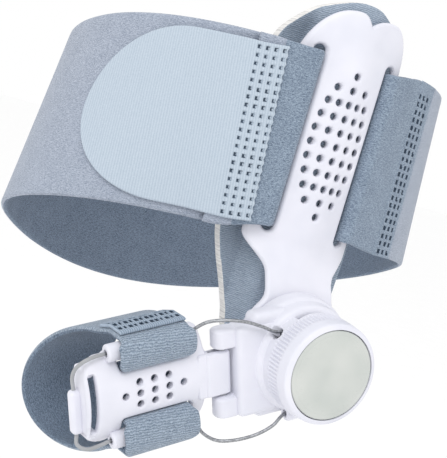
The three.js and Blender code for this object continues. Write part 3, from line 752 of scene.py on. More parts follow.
def mainPath():
    # left doubled end, left fold, then inside round the back and forward on the right to meet the right loop
    p = bandSet
    ends = np.linspace(runAtTurn(p["leftEnd"]), runAtAcross(-p["foldFrom"]), 6)
    left = loopStations(ends, p["outer"])
    runs = np.linspace(runAtAcross(-p["foldTo"]), p["rightEnd"] - leftLength - rightLength, 160)
    signed = wrapped(runs)
    rise = np.where(signed < 0, 0, 1 - ramp(signed, *p["rise"]))
    around = loopStations(runs, p["inner"] + (p["outer"] + 0.05 - p["inner"]) * rise)
    return np.concatenate([left, foldStations(-1), around])


def mainLooks(s, columns):
    # band felt on the doubled end, the darker slot felt through the fold, then the darker inside look on the
    # inner face; both darker tones are partly the cloth's own and partly painted shade
    felt = ((s > bandSet["endTo"]) & (s < bandSet["feltTo"]))[:, None]
    face = np.arange(2 * columns - 1)[None] < columns
    return np.where(felt, 2, np.where(face & (s > bandSet["endTo"])[:, None], 1, 0))


def rightPath():
    # outer end, pressed down under the weld, then the right fold and the inner end
    p = bandSet
    runs = np.linspace(p["slotFrom"], runAtAcross(p["foldFrom"]), 16)
    outer = loopStations(runs, p["slotOuter"] - p["underWeld"] * ramp(runs, *p["weldEdge"]))
    inner = loopStations(np.linspace(runAtAcross(p["foldTo"]), p["slotTo"], 6), p["inner"])
    return np.concatenate([outer, foldStations(1), inner])


def oneLook(s, columns):
    # the first look all over
    return np.zeros((len(s), 2 * columns - 1), int)


mainShell, mainLength = strapShell(mainPath(), bandSet["thick"], lip=0.9, margin=0.0, lookOf=mainLooks)
strapMain = makePiece("strapMain", [mainShell], [bandFelt, bandInsideAndShade, slotFeltAndShade], sharp=50)
rightShell, rightLoopLength = strapShell(rightPath(), bandSet["slotThick"], lip=0.7, margin=0.15,
                                         lookOf=oneLook)
strapRight = makePiece("strapRight", [rightShell], [slotFeltAndShade], sharp=50)


# Weld pits: a lattice of small square dents pressed through the layers


def pitDepth(u, v, atU, atV, size, deep, rim=0.3, light=0.25):
    # depth is full within 0.3 of the pit's side from its middle and falls to nothing at 0.56 of it; shade
    # marks what is deeper than the share rim, but for the lit wall, where du is under -0.2 and dv within
    # light, both as shares of the side
    du = u[..., None] - atU
    dv = v[..., None] - atV
    du = np.take_along_axis(du, np.abs(du).argmin(-1)[..., None], -1)[..., 0]
    dv = np.take_along_axis(dv, np.abs(dv).argmin(-1)[..., None], -1)[..., 0]
    dent = deep * (1 - ramp(np.maximum(np.abs(du), np.abs(dv)), 0.3 * size, 0.56 * size))
    shade = (dent > rim * deep) & ((du > -0.2 * size) | (np.abs(dv) > light * size))
    return dent, shade


def pitLooks(shade, columns):
    # dark look on the cells of the outer face whose middle lies in a shaded part of a pit
    look = np.zeros((len(shade) - 1, 2 * columns - 1), int)
    look[:, : columns - 1] = shade[1:, 1:] & shade[:-1, :-1]
    return look


weldSet = {
    "start": 27.2, "length": 11.6, "step": 0.21, "across": 237, "thick": 0.6, "rise": 0.7, "outer": -0.15,
    "first": 1.8, "columns": 3, "pitch": 2.6, "rows": 21, "rowPitch": 2.3, "down": 1.4, "lean": 0.035,
    "pit": 1.5, "deep": 0.3, "lip": 0.5, "margin": 0.03,
}


def weldPatch():
    # thin pressed skin, level with the band's outer face, where its right end is welded to the slot loop
    p = weldSet
    s = p["start"] + np.arange(0, p["length"], p["step"])
    a = np.linspace(-1, 1, p["across"])
    plan, normal, drop, flare = loopPlace(s)
    half = loopWidth(s, p["margin"])
    out = p["rise"] + p["outer"] - p["thick"] / 2
    upright = uprightOf(flare)
    centre = lifted(plan + normal * out) + upright * drop[:, None]
    atU = p["start"] + p["first"] + p["pitch"] * np.arange(p["columns"])
    atV = centred(p["rows"], p["rowPitch"]) - p["down"]
    u, v = np.broadcast_arrays(s[:, None], half[:, None] * a)
    mirrored = 2 * atU.mean() - u - p["lean"] * v
    dent, shade = pitDepth(mirrored, v, atU, atV, p["pit"], p["deep"], rim=0.1, light=0.0)
    ends = roundEnd(np.minimum(s - s[0], s[-1] - s), p["lip"])
    dent = dent * ends[:, None]
    look = pitLooks(shade, len(a))
    shell = bandShell(fromFoot(centre), upright, lifted(normal), half, p["thick"] * ends, a, p["lip"],
                      dent, look, s)
    return makePiece("weldPatch", [shell], [weldFeltAndShade, pitShadeFelt], sharp=50)


patchPiece = weldPatch()

tabSet = {
    "from": -19.5, "to": -72.0, "half": 23.5, "across": 239, "thick": 1.0, "lean": 0.08, "low": -0.95,
    "rise": 2.2, "columns": 4, "pitch": 2.25, "rows": 21, "rowPitch": 2.2, "first": 1.25, "pitsTo": 10.6,
    "pit": 1.15, "deep": 0.55, "teeth": 0.45, "teethTo": 1.1, "lip": 0.45, "endLip": 0.4,
    "stepDown": (0.18, 0.34), "tailRows": 90, "tailPower": 1.5,
}


def hookTab():
    # full width over the felt's end, half ellipse beyond the middle; its right edge leans and is toothed,
    # with pits beside it
    p = tabSet
    first, last = runAtTurn(p["from"]), runAtTurn(p["to"])
    length = first - last
    late = 1 - (1 - np.linspace(0, 1, p["tailRows"])) ** p["tailPower"]
    tail = p["pitsTo"] + (length - p["pitsTo"]) * late
    along = np.concatenate([[0, 0.05, 0.2, 0.4], np.arange(0.62, 10.4, 0.2), tail])
    t = along / length
    half = p["half"] * np.sqrt(1 - np.clip((t - 0.5) / 0.5, 0, 1) ** 2)
    a = np.linspace(-1, 1, p["across"])
    s = first - along
    plan, normal, drop, flare = loopPlace(s + p["lean"] * p["half"])
    out = p["low"] + p["rise"] * (1 - ramp(t, *p["stepDown"]))
    upright = np.stack([flare + p["lean"] * normal[:, 1], -p["lean"] * normal[:, 0], np.ones_like(s)], -1)
    centre = lifted(plan + normal * out[:, None]) + uprightOf(flare) * drop[:, None]
    atU = p["first"] + p["pitch"] * np.arange(p["columns"])
    atV = centred(p["rows"], p["rowPitch"])
    u, v = np.broadcast_arrays(along[:, None], half[:, None] * a)
    dent, shade = pitDepth(u, v, atU, atV, p["pit"], p["deep"])
    tooth = np.abs(((v - atV[0]) / p["rowPitch"]) % 1 - 0.5) * 2
    slide = p["teeth"] * tooth * (1 - ramp(along, 0, p["teethTo"]))[:, None]
    thick = p["thick"] * roundEnd(along, p["endLip"])
    look = pitLooks(shade, len(a))
    shell = bandShell(fromFoot(centre), upright, lifted(normal), half, thick, a, p["lip"], dent, look,
                      along, slide)
    return makePiece("hookTab", [shell], [hookTape, pitShadeTape], sharp=50), length


tabPiece, tabLength = hookTab()
for piece in (strapMain, strapRight, patchPiece):
    belong(piece, "foot", "strap_felt", "foot_strap")
belong(tabPiece, "foot", "hook_tape", "hook_tab")
print("foot strap, tab and welds made")


# Foot plate

plateSet = {
    "thick": 2.2, "half": 17.3, "arch": 32.0, "ridge": 0.9, "ridgeHalf": 9.0, "lobeTop": 37.2,
    "lobeAt": (0.24, 0.52), "lobeStart": (18.0, 24.0), "notch": 2.9, "waist": 11.0, "base": 16.5,
    "baseZ": -55.1, "forward": 5.5, "slotAt": 11.85, "slotHalf": 26.0, "slotWide": 1.65, "hole": 1.08,
    "pitch": 3.96, "grid": 0.38, "edge": 0.75, "holeEdge": 0.3, "bore": 4.3,
    "waistRise": (-36.5, -27.5), "archFrom": (-43, -27), "forwardTo": (-47, -27), "fillet": 1.6,
    "gridAcross": (-18.06, 18.07), "gridUp": (-72.4, 38.3), "notchPower": 2.7, "lobeScale": 11,
    "holeReach": 0.9, "deepInside": -9,
}
# holes in each row from the top, and their spacing
holeRows = [(1, 4), (3, 4.6), (5, 3.05), (5, 3.45), (5, 3.7), (5, 3.75), (5, 3.7), (5, 3.45), (5, 3.05),
            (3, 4.5), (1, 4)]
holePlaces = np.array([((i - (count - 1) / 2) * gap, 0.6 + (5 - k) * plateSet["pitch"])
                       for k, (count, gap) in enumerate(holeRows) for i in range(count)])


def softMin(a, b, k):
    # the lesser of two distances, with a fillet of size k where they meet
    h = np.clip(k - np.abs(a - b), 0, None) / k
    return np.minimum(a, b) - h * h * k / 4


def holeDistance(x, z, places, radius):
    # distance to the rim of the nearest of many round holes
    return np.hypot(x[..., None] - places[:, 0], z[..., None] - places[:, 1]).min(-1) - radius


def plateDistance(x, z):
    # inside the heart-topped body or the round base, outside every slot and hole
    p = plateSet
    far = np.abs(x) / p["half"]
    lobe = np.where(x < 0, *p["lobeAt"])
    start = np.where(x < 0, *p["lobeStart"])
    rise = p["lobeTop"] - p["notch"] * np.clip(1 - far / lobe, 0, 1) ** p["notchPower"]
    lobeX = np.clip((far - lobe) / (1 - lobe), 0, None)
    lobeZ = (z - start) / (p["lobeTop"] - start)
    shoulder = (np.hypot(lobeX, np.clip(lobeZ, 0, None)) - 1) * p["lobeScale"]
    top = np.where(far < lobe, z - rise, np.where(z > start, shoulder, p["deepInside"]))
    waist = p["waist"] + (p["half"] - p["waist"]) * ramp(z, *p["waistRise"])
    body = np.maximum(np.maximum(np.abs(x) - waist, top), p["baseZ"] - z)
    body = softMin(body, np.hypot(x, z - p["baseZ"]) - p["base"], p["fillet"])
    past = np.clip(np.abs(z) - p["slotHalf"] + p["slotWide"], 0, None)
    slot = np.hypot(np.abs(x) - p["slotAt"], past) - p["slotWide"]
    holes = holeDistance(x, z, holePlaces, p["hole"])
    bore = np.hypot(x, z - p["baseZ"]) - p["bore"]
    return np.maximum(body, -np.minimum(np.minimum(slot, holes), bore))


def plateEdge(x, z):
    # rounding of the rim: small round the holes
    holes = holeDistance(x, z, holePlaces, plateSet["hole"])
    return np.where(holes < plateSet["holeReach"], plateSet["holeEdge"], plateSet["edge"])


def plateArch(x):
    # arch of radius 32 across, plus the low ridge in the middle, half a cosine wide
    p = plateSet
    inside = np.clip(np.abs(x), 0, p["half"] + 1)
    ridge = p["ridge"] * (1 - np.cos(np.pi * np.minimum(np.abs(x), p["ridgeHalf"]) / p["ridgeHalf"])) / 2
    return p["arch"] - np.sqrt(p["arch"] ** 2 - inside**2) + ridge


def plateSurface(x, z, deep):
    # arched above, flat and stepped forward at the base; deep is behind the front face
    p = plateSet
    y = ramp(z, *p["archFrom"]) * plateArch(x) - p["forward"] * (1 - ramp(z, *p["forwardTo"]))
    return fromFoot(np.stack([x, y + deep, z], -1))


def footPlate():
    # the plate cut from its outline and holes
    xs = np.arange(*plateSet["gridAcross"], plateSet["grid"])
    zs = np.arange(*plateSet["gridUp"], plateSet["grid"])
    shell = cutSheet(xs, zs, plateDistance, plateSurface, plateSet["thick"], plateEdge)
    piece = makePiece("footPlate", [shell], [whitePlastic], sharp=60, merge=0.01)
    belong(piece, "foot", "white_plastic", "foot_plate")


footPlate()

# Foot pad: liner of knit-faced foam with a pale cut edge

padSet = {
    "thick": 3.2, "edge": 0.9, "low": -64, "high": 40, "columns": 61, "gap": 0.4, "strap": (8.6, 13.5),
    "behind": 12.1, "aboveStrap": (26, 36), "aboveShare": 0.62, "paleBelow": -15, "paleAbove": 22,
    "rows": 150, "endLip": 0.8, "paleFrom": 0.55,
}
# height, and width to the left and to the right
padRows = np.array([
    (-64, 3, 4), (-62.5, 8, 9), (-57, 11.6, 15), (-50, 13, 19.4), (-44, 15.4, 21.6), (-36, 19, 22.2),
    (-28, 21.6, 22.5), (-16, 22.5, 22.5), (18, 22.5, 22.5), (25, 20.9, 20.4), (31, 17.5, 16.6),
    (36, 12.4, 11), (39, 6.5, 5), (40, 2, 1),
])


def footPad():
    # across x = width(z) * a; the front face lies a gap behind the plate in the middle and falls away
    # behind the strap, less so above the strap; the back face is a thickness further back
    p = padSet
    smooth = smoothLine(padRows, 2000)
    z = (p["low"] + p["high"]) / 2 - (p["high"] - p["low"]) / 2 * np.cos(np.linspace(0, np.pi, p["rows"]))
    left, right = (np.interp(z, smooth[:, 0], smooth[:, k]) for k in (1, 2))
    a = closeEnds(p["columns"])
    both = np.concatenate([a, a[::-1]])
    sign = np.concatenate([np.ones_like(a), -np.ones_like(a)])
    half = np.where(both < 0, left[:, None], right[:, None])
    x = half * both
    e = np.clip(1 - half * (1 - np.abs(both)) / p["edge"], 0, 1)
    ends = roundEnd(np.minimum(z - p["low"], p["high"] - z), p["endLip"])
    b = -sign * p["thick"] / 2 * (1 - e**4) ** 0.25 * ends[:, None]
    near = plateSet["thick"] + p["gap"] + plateArch(np.minimum(np.abs(x), p["strap"][1]))
    away = ramp(np.abs(x), *p["strap"]) * (1 - p["aboveShare"] * ramp(z, *p["aboveStrap"]))[:, None]
    y = near + (p["behind"] - near) * away + p["thick"] / 2 + b
    free = ((z < p["paleBelow"]) | (z > p["paleAbove"]))[:, None]
    pale = (e > p["paleFrom"]) & ((sign < 0) | free)
    cut = pale[1:, 1:] & pale[:-1, :-1]
    high = np.repeat(z[:, None], len(both), 1)
    shell = gridShell(fromFoot(np.stack([x, y, high], -1)), np.stack([x, high], -1), cut.astype(int))
    piece = makePiece("footPad", [shell], [padKnit, padEdge], sharp=60)
    belong(piece, "foot", "pad_knit", "foot_pad")


footPad()
print("plate and pad made")


# Housing under the dial, in the dial's frame

housingSet = {
    "sides": 288, "wall": 13.4, "slitFrom": 71.0, "slitTo": 106.0, "slitDeep": 5.5, "slitLow": 9.75,
    "slitTall": 0.7, "slitRise": 1.1, "mouthAt": 133.5, "mouthHigh": 10.3, "mouth": 1.7, "mouthDeep": 3.0,
    "carved": (9.78, 11.85), "slitFoot": 9.6, "darkFrom": 1.2, "slitEnds": (0.06, 0.9),
    "slitSoft": 0.25, "mouthFrom": 8.4, "wallFrom": 12.6, "wallRows": 40, "bossAt": (-14.3, 8.3),
}
# radius and height of the round block's corners, from below
housingSteps = [(0, 0.4), (16.1, 0.4), (15.9, 4.8), (15.1, 5.3), (14.7, 9.0), (13.4, 9.6), (13.4, 12.4),
                (0, 12.4)]
# hinge block, two ears and two guide shoulders: low corner, high corner, rounding and points in a quarter
housingBoxes = [
    ((-19.6, -13, 0.8), (-8, 12, 8.2), 1.6, 6),
    ((-25.1, 6.2, 0.9), (-17.6, 12, 6.7), (2.6, 1.0, 2.6), 9),
    ((-25.1, -13.1, 0.9), (-17.6, -6.8, 6.7), (2.6, 1.0, 2.6), 9),
    ((-14.4, 7.6, 1), (-3, 14.6, 7.4), 2.0, 6),
    ((-14.4, -14.6, 1), (-3, -7.6, 7.4), 2.0, 6),
]


def housingCarve(r, z, a):
    # a slit over the knob, low at its right end and opening to the left, and a round mouth for the upper wire
    p = housingSet
    turn = np.degrees(a)
    across = (turn - p["slitFrom"]) / (p["slitTo"] - p["slitFrom"])
    high = p["slitLow"] + p["slitTall"] + p["slitRise"] * np.clip(across, 0, 1) ** 2
    slit = ramp(across, 0, p["slitEnds"][0]) * (1 - ramp(across, p["slitEnds"][1], 1))
    slit = slit * ramp(z, p["slitFoot"], p["slitLow"]) * (1 - ramp(z, high, high + p["slitSoft"]))
    far = np.hypot(np.radians(turn - p["mouthAt"]) * p["wall"], z - p["mouthHigh"])
    mouth = (1 - ramp(far, 0.8 * p["mouth"], p["mouth"])) * (z > p["mouthFrom"])
    wall = (r > p["wallFrom"]).astype(float)
    return r - wall * np.maximum(p["slitDeep"] * slit, p["mouthDeep"] * mouth), z


def laidAlong(p, y, z):
    # a turned shape with its axis laid along -x at the place y, z
    return np.stack([-p[..., 2], y + p[..., 1], z + p[..., 0]], -1)


def guideBoss():
    # short boss along x with a bored mouth for the lower wire
    corners = [(0, 0.6), (2.2, 0.6), (2.3, 6.4), (0.98, 6.4), (0.9, 4.2), (0, 4.2)]
    rows = roundCorners(corners, [0.6, 0.9, 0.3, 0.2])
    return latheShell(rows, 40, lambda p: fromDial(laidAlong(p, *housingSet["bossAt"])))


def housing():
    # the wall has close rows where slit and mouth are carved, and what lies deep in them has the dark look
    p = housingSet
    rows = roundCorners(housingSteps, [0.6, 1.1, 0.35, 1.2, 0.15, 0.5])
    rows = denserWall(rows, p["wall"], *p["carved"], p["wallRows"], (0.01, 0.01))
    r, z = (np.repeat(rows[:, k:k + 1], p["sides"] + 1, 1) for k in (0, 1))
    turn = np.broadcast_to(np.linspace(0, 2 * np.pi, p["sides"] + 1), r.shape)
    carved, _ = housingCarve(r, z, turn)
    deep = r - carved > p["darkFrom"]
    shade = (deep[1:, 1:] & deep[:-1, :-1]).astype(int)
    shells = [latheShell(rows, p["sides"], fromDial, housingCarve, shade)]
    shells += [roundBox(low, high, soft, fromDial, steps) for low, high, soft, steps in housingBoxes]
    shells += [guideBoss()]
    piece = makePiece("dialHousing", shells, [whitePlastic, innerShade], sharp=40)
    belong(piece, "head", "white_plastic", "housing")


housing()

# Knob and cap

knobSet = {
    "radius": 14.0, "wall": (13.3, 15.8), "ribs": 84, "deep": 0.5, "perRib": 8, "ribFoot": (12.9, 13.4),
    "ribTop": (17.0, 17.6), "wallRows": 12, "ribsFrom": 13, "ribPower": 1.5,
}


def knobRibs(r, z, a):
    # radius falls by a rounded wave of the angle on the wall, fading out at its foot and under the bevel
    wall = ramp(z, *knobSet["ribFoot"]) * (1 - ramp(z, *knobSet["ribTop"])) * (r > knobSet["ribsFrom"])
    wave = 0.5 - 0.5 * np.cos(knobSet["ribs"] * a)
    return r - knobSet["deep"] * wall * wave ** knobSet["ribPower"], z


def dialKnob():
    # turned profile with rounded corners and a ribbed wall
    corners = [(0, 9.4), (2.4, 9.4), (2.4, 12.8), (14.0, 12.8), (14.0, 17.5), (13.6, 21.3), (12.25, 22.0),
               (12.25, 20.6), (0, 20.6)]
    rows = roundCorners(corners, [0.3, 0.3, 0.4, 1.6, 0.6, 0.25, 0.2])
    rows = denserWall(rows, knobSet["radius"], *knobSet["wall"], knobSet["wallRows"], (0.3, 0.05))
    shell = latheShell(rows, knobSet["ribs"] * knobSet["perRib"], fromDial, knobRibs)
    piece = makePiece("dialKnob", [shell], [whitePlastic], sharp=50)
    belong(piece, "dial", "white_plastic", "dial_knob")


capSet = {
    "radius": 12.0, "top": 22.25, "dome": 0.45, "ring": 10.7, "ringWide": 0.16, "ringDeep": 0.06, "ticks": 36,
    "tickFrom": (9.2, 9.4), "tickTo": (9.9, 10.1), "tickWide": (0.08, 0.2), "tickDeep": 0.05,
    "topFrom": 21.3, "domeTo": 11.6, "domeRows": 120, "sides": 576,
}


def capRelief(r, z, a):
    # a fine groove near the rim and short ticks inside it, both pressed in; the middle is bare
    p = capSet
    ring = np.exp(-(((r - p["ring"]) / p["ringWide"]) ** 2))
    near = np.abs((a * p["ticks"] / (2 * np.pi) + 0.5) % 1 - 0.5) * 2 * np.pi / p["ticks"] * r
    tick = (1 - ramp(near, *p["tickWide"])) * ramp(r, *p["tickFrom"]) * (1 - ramp(r, *p["tickTo"]))
    return r, z - np.where(z > p["topFrom"], p["ringDeep"] * ring + p["tickDeep"] * tick, 0)


def dialCap():
    # turned disc whose top falls by dome (r / radius)^2 from its middle
    r = np.linspace(0, capSet["domeTo"], capSet["domeRows"])[::-1]
    edge = capSet["radius"]
    dome = np.stack([r, capSet["top"] - capSet["dome"] * (r / edge) ** 2], -1)
    rim = [(0, 20.8), (11.9, 20.8), (edge, 20.9), (edge, 21.5), (11.93, 21.68), (11.8, 21.78)]
    rows = np.concatenate([rim, dome])
    shell = latheShell(rows, capSet["sides"], fromDial, capRelief)
    piece = makePiece("dialCap", [shell], [pearlCap], sharp=60)
    belong(piece, "dial", "pearl_cap", "dial_cap")


dialKnob()
dialCap()
print("housing and dial made")


# Toe splint, in the hinge's frame: -x towards the toe, y up, z out

splintSet = {
    "thick": 2.4, "arch": 18.0, "front": 1.2, "grid": 0.34, "edge": 0.7, "hole": 0.98, "holeEdge": 0.3,
    "near": 3.9, "window": (8.1, 28.0), "far": 37.0, "strip": 6.2, "half": 13.0, "end": (-12.4, 11.0),
    "root": 31.2, "rootHalf": 11.4, "slot": (34.5, 36.4, -8.6, 7.2), "gridAlong": (3.3, 37.9),
    "gridUp": (-13.5, 13.51), "stripRound": 0.6, "nearRound": 1.4, "farRound": 4.2, "rootRound": 1.0,
    "slotRound": 0.8, "fillet": 1.6, "rootFillet": 0.8, "holeReach": 0.8,
}
toeHoles = [(along, across) for along in (14.8, 18.9, 23.0) for across in (-2.95, 0, 2.95)]
toeHoles = np.array([(10.7, 0), *toeHoles, (27.1, 0)])
# end wall, its two sides, cable flap, hinge tongue and its root: corners, rounding and points in a quarter
splintBoxes = [
    ((-37, -9.8, -8), (-36.3, 7.0, -1.6), 0.35, 6),
    ((-37, 6.0, -8), (-34.2, 8.4, -1.6), 0.9, 6),
    ((-37, -10.6, -8), (-34.2, -8.2, -1.6), 0.9, 6),
    ((-39.5, -9.6, -7.6), (-36.2, 2.2, -4.4), 1.2, 6),
    ((-4.4, -6.4, -2.2), (3.1, 5.8, 1.75), (1.3, 0.7, 1.3), 9),
    ((-6.4, -6.4, -1.8), (1.2, 5.8, 1.15), 0.7, 6),
]


def boxDistance(x, y, x0, x1, y0, y1, r):
    # distance to a rectangle whose corners have the radius r
    dx = np.abs(x - (x0 + x1) / 2) - (x1 - x0) / 2 + r
    dy = np.abs(y - (y0 + y1) / 2) - (y1 - y0) / 2 + r
    return np.hypot(np.clip(dx, 0, None), np.clip(dy, 0, None)) + np.minimum(np.maximum(dx, dy), 0) - r


def splintDistance(a, h):
    # pierced strip with a cross piece at both ends; a slot near the toe end
    p = splintSet
    strip = boxDistance(a, h, p["near"], p["far"] - 0.1, -p["strip"], p["strip"], p["stripRound"])
    near = boxDistance(a, h, p["near"], p["window"][0], -p["half"], p["half"], p["nearRound"])
    far = boxDistance(a, h, p["window"][1], p["far"], *p["end"], p["farRound"])
    root = boxDistance(a, h, p["window"][1], p["root"], -p["rootHalf"], p["rootHalf"], p["rootRound"])
    body = softMin(softMin(strip, near, p["fillet"]), far, p["fillet"])
    body = softMin(body, root, p["rootFillet"])
    holes = holeDistance(a, h, toeHoles, p["hole"])
    slot = boxDistance(a, h, *p["slot"], p["slotRound"])
    return np.maximum(body, -np.minimum(holes, slot))


def splintEdge(a, h):
    # rounding of the rim: small round the holes
    holes = holeDistance(a, h, toeHoles, splintSet["hole"])
    return np.where(holes < splintSet["holeReach"], splintSet["holeEdge"], splintSet["edge"])


def splintSurface(a, h, deep):
    # arch of radius 18 across the toe; deep is behind the front face
    arch = splintSet["arch"] - np.sqrt(splintSet["arch"] ** 2 - np.clip(h * h, 0, 200))
    return fromToe(np.stack([-a, h, splintSet["front"] - arch - deep], -1))


def barTube(h):
    # tube bar along the splint's edge, bored for the wire; its bore ends inside
    s = barSet
    first, last = s["from"] + s["boreDeep"][0], s["to"] - s["boreDeep"][1]
    wall = [(s["bore"], s["from"]), (s["radius"], s["from"]), (s["radius"], s["to"]), (s["bore"], s["to"])]
    rows = roundCorners([(s["boreEnd"], first), *wall, (s["boreEnd"], last)], [0.2, 0.7, 0.7, 0.2])
    rows = np.concatenate([[(0, first)], rows, [(0, last)]])
    return latheShell(rows, 36, lambda p: fromToe(laidAlong(p, h, s["deep"])))


def toeSplint():
    # cut plate, two tube bars and the rounded boxes
    alongs = np.arange(*splintSet["gridAlong"], splintSet["grid"])
    hs = np.arange(*splintSet["gridUp"], splintSet["grid"])
    shells = [cutSheet(alongs, hs, splintDistance, splintSurface, splintSet["thick"], splintEdge)]
    shells += [barTube(barSet["across"]), barTube(-barSet["across"])]
    shells += [roundBox(low, high, soft, fromToe, steps) for low, high, soft, steps in splintBoxes]
    piece = makePiece("toeSplint", shells, [whitePlastic], sharp=45, merge=0.008)
    belong(piece, "toe", "white_plastic", "toe_splint")


toeSplint()

# Toe band round both bars and round the toe, and its closing tab

toeSet = {
    "thick": 1.7, "near": 8.7, "far": 27.6, "columns": 37, "bulge": 1.2, "turn": 3.4, "high": 16.4,
    "low": 17.6, "deep": 21.0, "back": -17.7, "shift": 12.4, "nearShare": 0.35, "drop": 9.5,
    "lining": 6.2, "over": 1.05, "barDeep": 1.2, "barIn": (1.26, 0.4), "barOut": (1, 1.3),
    "loop": (20, -200), "liningOver": -5, "step": 0.7, "endLip": 0.7, "lip": 0.8,
    "backFrom": 6, "backOver": 33, "backPower": 1.2, "liningEnd": (5, 6.6), "bulgeFrom": (0.9, 2.2),
}
# behind the strip: height from its middle, and depth
toeLining = np.array([(0.4, -2.8), (3.4, -3.1), (5.7, -3.8), (7.1, -3.4), (7.42, -2.3)])


def toePath():
    # rows of height and depth: out from behind the strip, over the upper bar, half-round behind the toe,
    # under the lower bar and back
    t = toeSet
    bar = np.pi - np.linspace(0, 1, 9) * np.pi * t["over"]
    deep = barSet["deep"] + t["turn"] * np.sin(bar) * np.where(bar < 0, 1, t["barDeep"])
    inside = t["barIn"][0] + t["barIn"][1] * np.sin(bar)
    upWide, lowWide = (t["turn"] * np.cos(bar) * np.where(np.cos(bar) < 0, inside, outside)
                       for outside in t["barOut"])
    loop = np.radians(np.linspace(*t["loop"], 23))
    tall = np.where(np.cos(loop) > 0, t["high"], t["low"]) * np.cos(loop)
    upper = np.concatenate([toeLining, np.stack([barSet["across"] + upWide, deep], -1)])
    under = np.stack([-barSet["across"] - lowWide, deep], -1)
    lower = np.concatenate([under[::-1], (toeLining * [-1, 1])[::-1]])
    return np.concatenate([upper, np.stack([tall, t["back"] + t["deep"] * np.sin(loop)], -1), lower])


def toeStations(s, line, out):
    # centre line in the splint's frame with its normal; towards the back it drops, widens and shifts to the
    # toe end; it lines the strip, and in the strip's middle it reaches on to the end slot, where its dark
    # inner felt is painted shade
    p = toeSet
    at = atRun(line, s, 2)
    tangent = unit(np.gradient(at, s, axis=0))
    normal = np.stack([0 * s, -tangent[:, 1], tangent[:, 0]], -1)
    back = np.clip((-at[:, 1] - p["backFrom"]) / p["backOver"], 0, 1)
    shift = p["shift"] * back ** p["backPower"]
    # in the strip's middle the band reaches on as far as the end slot: its dark inner felt there is painted
    # shade in the slot
    lining = p["lining"] * (1 - ramp(np.abs(at[:, 0]), *p["liningEnd"])) * (at[:, 1] > p["liningOver"])
    near, far = p["near"] + p["nearShare"] * shift, p["far"] + shift + lining
    centre = np.stack([-(near + far) / 2, at[:, 0] - p["drop"] * back, at[:, 1]], -1)
    half = (far - near) / 2 + p["bulge"] * ramp(at[:, 1], *p["bulgeFrom"])
    return centre + normal * np.reshape(out, (-1, 1)), normal, half


def inToe(shell):
    # a shell moved from the splint's frame
    shell["points"] = fromToe(shell["points"])
    return shell


def toeBand():
    # strip along the path, knit on its outer face and felt on its inner one
    path = toePath()
    line = smoothLine(path, 3000)
    s, ends = endedRun(runOf(line)[-1], toeSet["step"], toeSet["endLip"])
    centre, normal, half = toeStations(s, line, 0 * s)
    along = np.tile([-1.0, 0, 0], (len(s), 1))
    a = closeEnds(toeSet["columns"])
    look = np.where(np.arange(2 * len(a) - 1) < len(a), 0, 1)[None].repeat(len(s) - 1, 0)
    thick = toeSet["thick"] * ends
    shell = inToe(bandShell(centre, along, normal, half, thick, a, toeSet["lip"], None, look, s))
    piece = makePiece("toeBand", [shell], [toeKnit, toeInside], sharp=60)
    belong(piece, "toe", "toe_knit", "toe_strap")
    return line, runOf(path)


toeLine, toeRuns = toeBand()
toeTabSet = {
    "from": 12, "to": 14, "half": 9.2, "across": 121, "thick": 1.0, "gap": 0.12, "columns": 12,
    "pitch": 1.45, "rows": 3, "rowPitch": 2.9, "first": 2.3, "long": 1.9, "pit": 1.0, "deep": 0.5,
    "step": 0.15, "past": 0.4, "lip": 0.5, "endLip": 0.4,
}


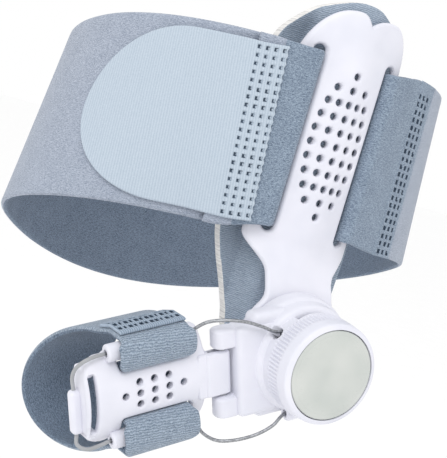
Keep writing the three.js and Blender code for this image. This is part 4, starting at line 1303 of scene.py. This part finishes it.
def toeTab():
    # strip lying on the upper side of the band between two rows of its path, with three rows of long pits
    p = toeTabSet
    s = np.arange(toeRuns[p["from"]], toeRuns[p["to"]] + p["past"], p["step"])
    centre, normal, _ = toeStations(s, toeLine, toeSet["thick"] / 2 + p["gap"] + p["thick"] / 2)
    along = np.tile([-1.0, 0, 0], (len(s), 1))
    a = np.linspace(-1, 1, p["across"])
    half = np.full(len(s), p["half"])
    u, v = np.broadcast_arrays(s[:, None], half[:, None] * a)
    atU = s[0] + p["first"] + p["rowPitch"] * np.arange(p["rows"])
    atV = centred(p["columns"], p["pitch"])
    dent, shade = pitDepth(u / p["long"], v, atU / p["long"], atV, p["pit"], p["deep"], rim=0.12)
    thick = p["thick"] * roundEnd(np.minimum(s - s[0], s[-1] - s), p["endLip"])
    look = pitLooks(shade, len(a))
    shell = inToe(bandShell(centre, along, normal, half, thick, a, p["lip"], dent, look, s))
    piece = makePiece("toeTab", [shell], [toeHook, pitShadeFelt], sharp=50)
    belong(piece, "toe", "toe_hook", "toe_tab")


toeTab()
print("toe splint, band and tab made")


# Floor and light

stageSet = {
    "floor": -0.28, "reach": 6, "world": 1.0, "key": 3.0, "keyPlace": (-0.55, -0.6, 0.65), "keySize": 0.5,
}


def makeStage(values):
    # wide flat floor, white studio all round, and one soft key from the upper left front
    mesh = bpy.data.meshes.new("studioFloor")
    far = values["reach"]
    corners = [(x * far, y * far, values["floor"]) for x, y in ((-1, -1), (1, -1), (1, 1), (-1, 1))]
    mesh.from_pydata(corners, [], [(0, 1, 2, 3)])
    material, tree, skin, where = newMaterial("studioPaper", "Object", Roughness=0.9)
    grain = placed(tree, mouldedSkin, where, Grain=40.0)
    colour = twoTone(tree, grain["Spark"], (252, 252, 252), (254, 254, 254))
    tree.links.new(colour, skin.inputs["Base Color"])
    mesh.materials.append(material)
    floor = bpy.data.objects.new("studioFloor", mesh)
    scene.collection.objects.link(floor)
    world = bpy.data.worlds.new("studio")
    world.use_nodes = True
    sky = world.node_tree.nodes["Background"]
    sky.inputs["Color"].default_value = (1, 1, 1, 1)
    sky.inputs["Strength"].default_value = values["world"]
    scene.world = world
    lamp = bpy.data.lights.new("keyLight", "AREA")
    lamp.energy = values["key"]
    lamp.size = values["keySize"]
    key = bpy.data.objects.new("keyLight", lamp)
    key.location = values["keyPlace"]
    away = np.array(values["keyPlace"])
    away = away / np.linalg.norm(away)
    key.rotation_euler = (math.acos(away[2]), 0, math.atan2(away[1], away[0]) + math.pi / 2)
    scene.collection.objects.link(key)
    scene.view_settings.view_transform = "Standard"


makeStage(stageSet)
print("scene finished")
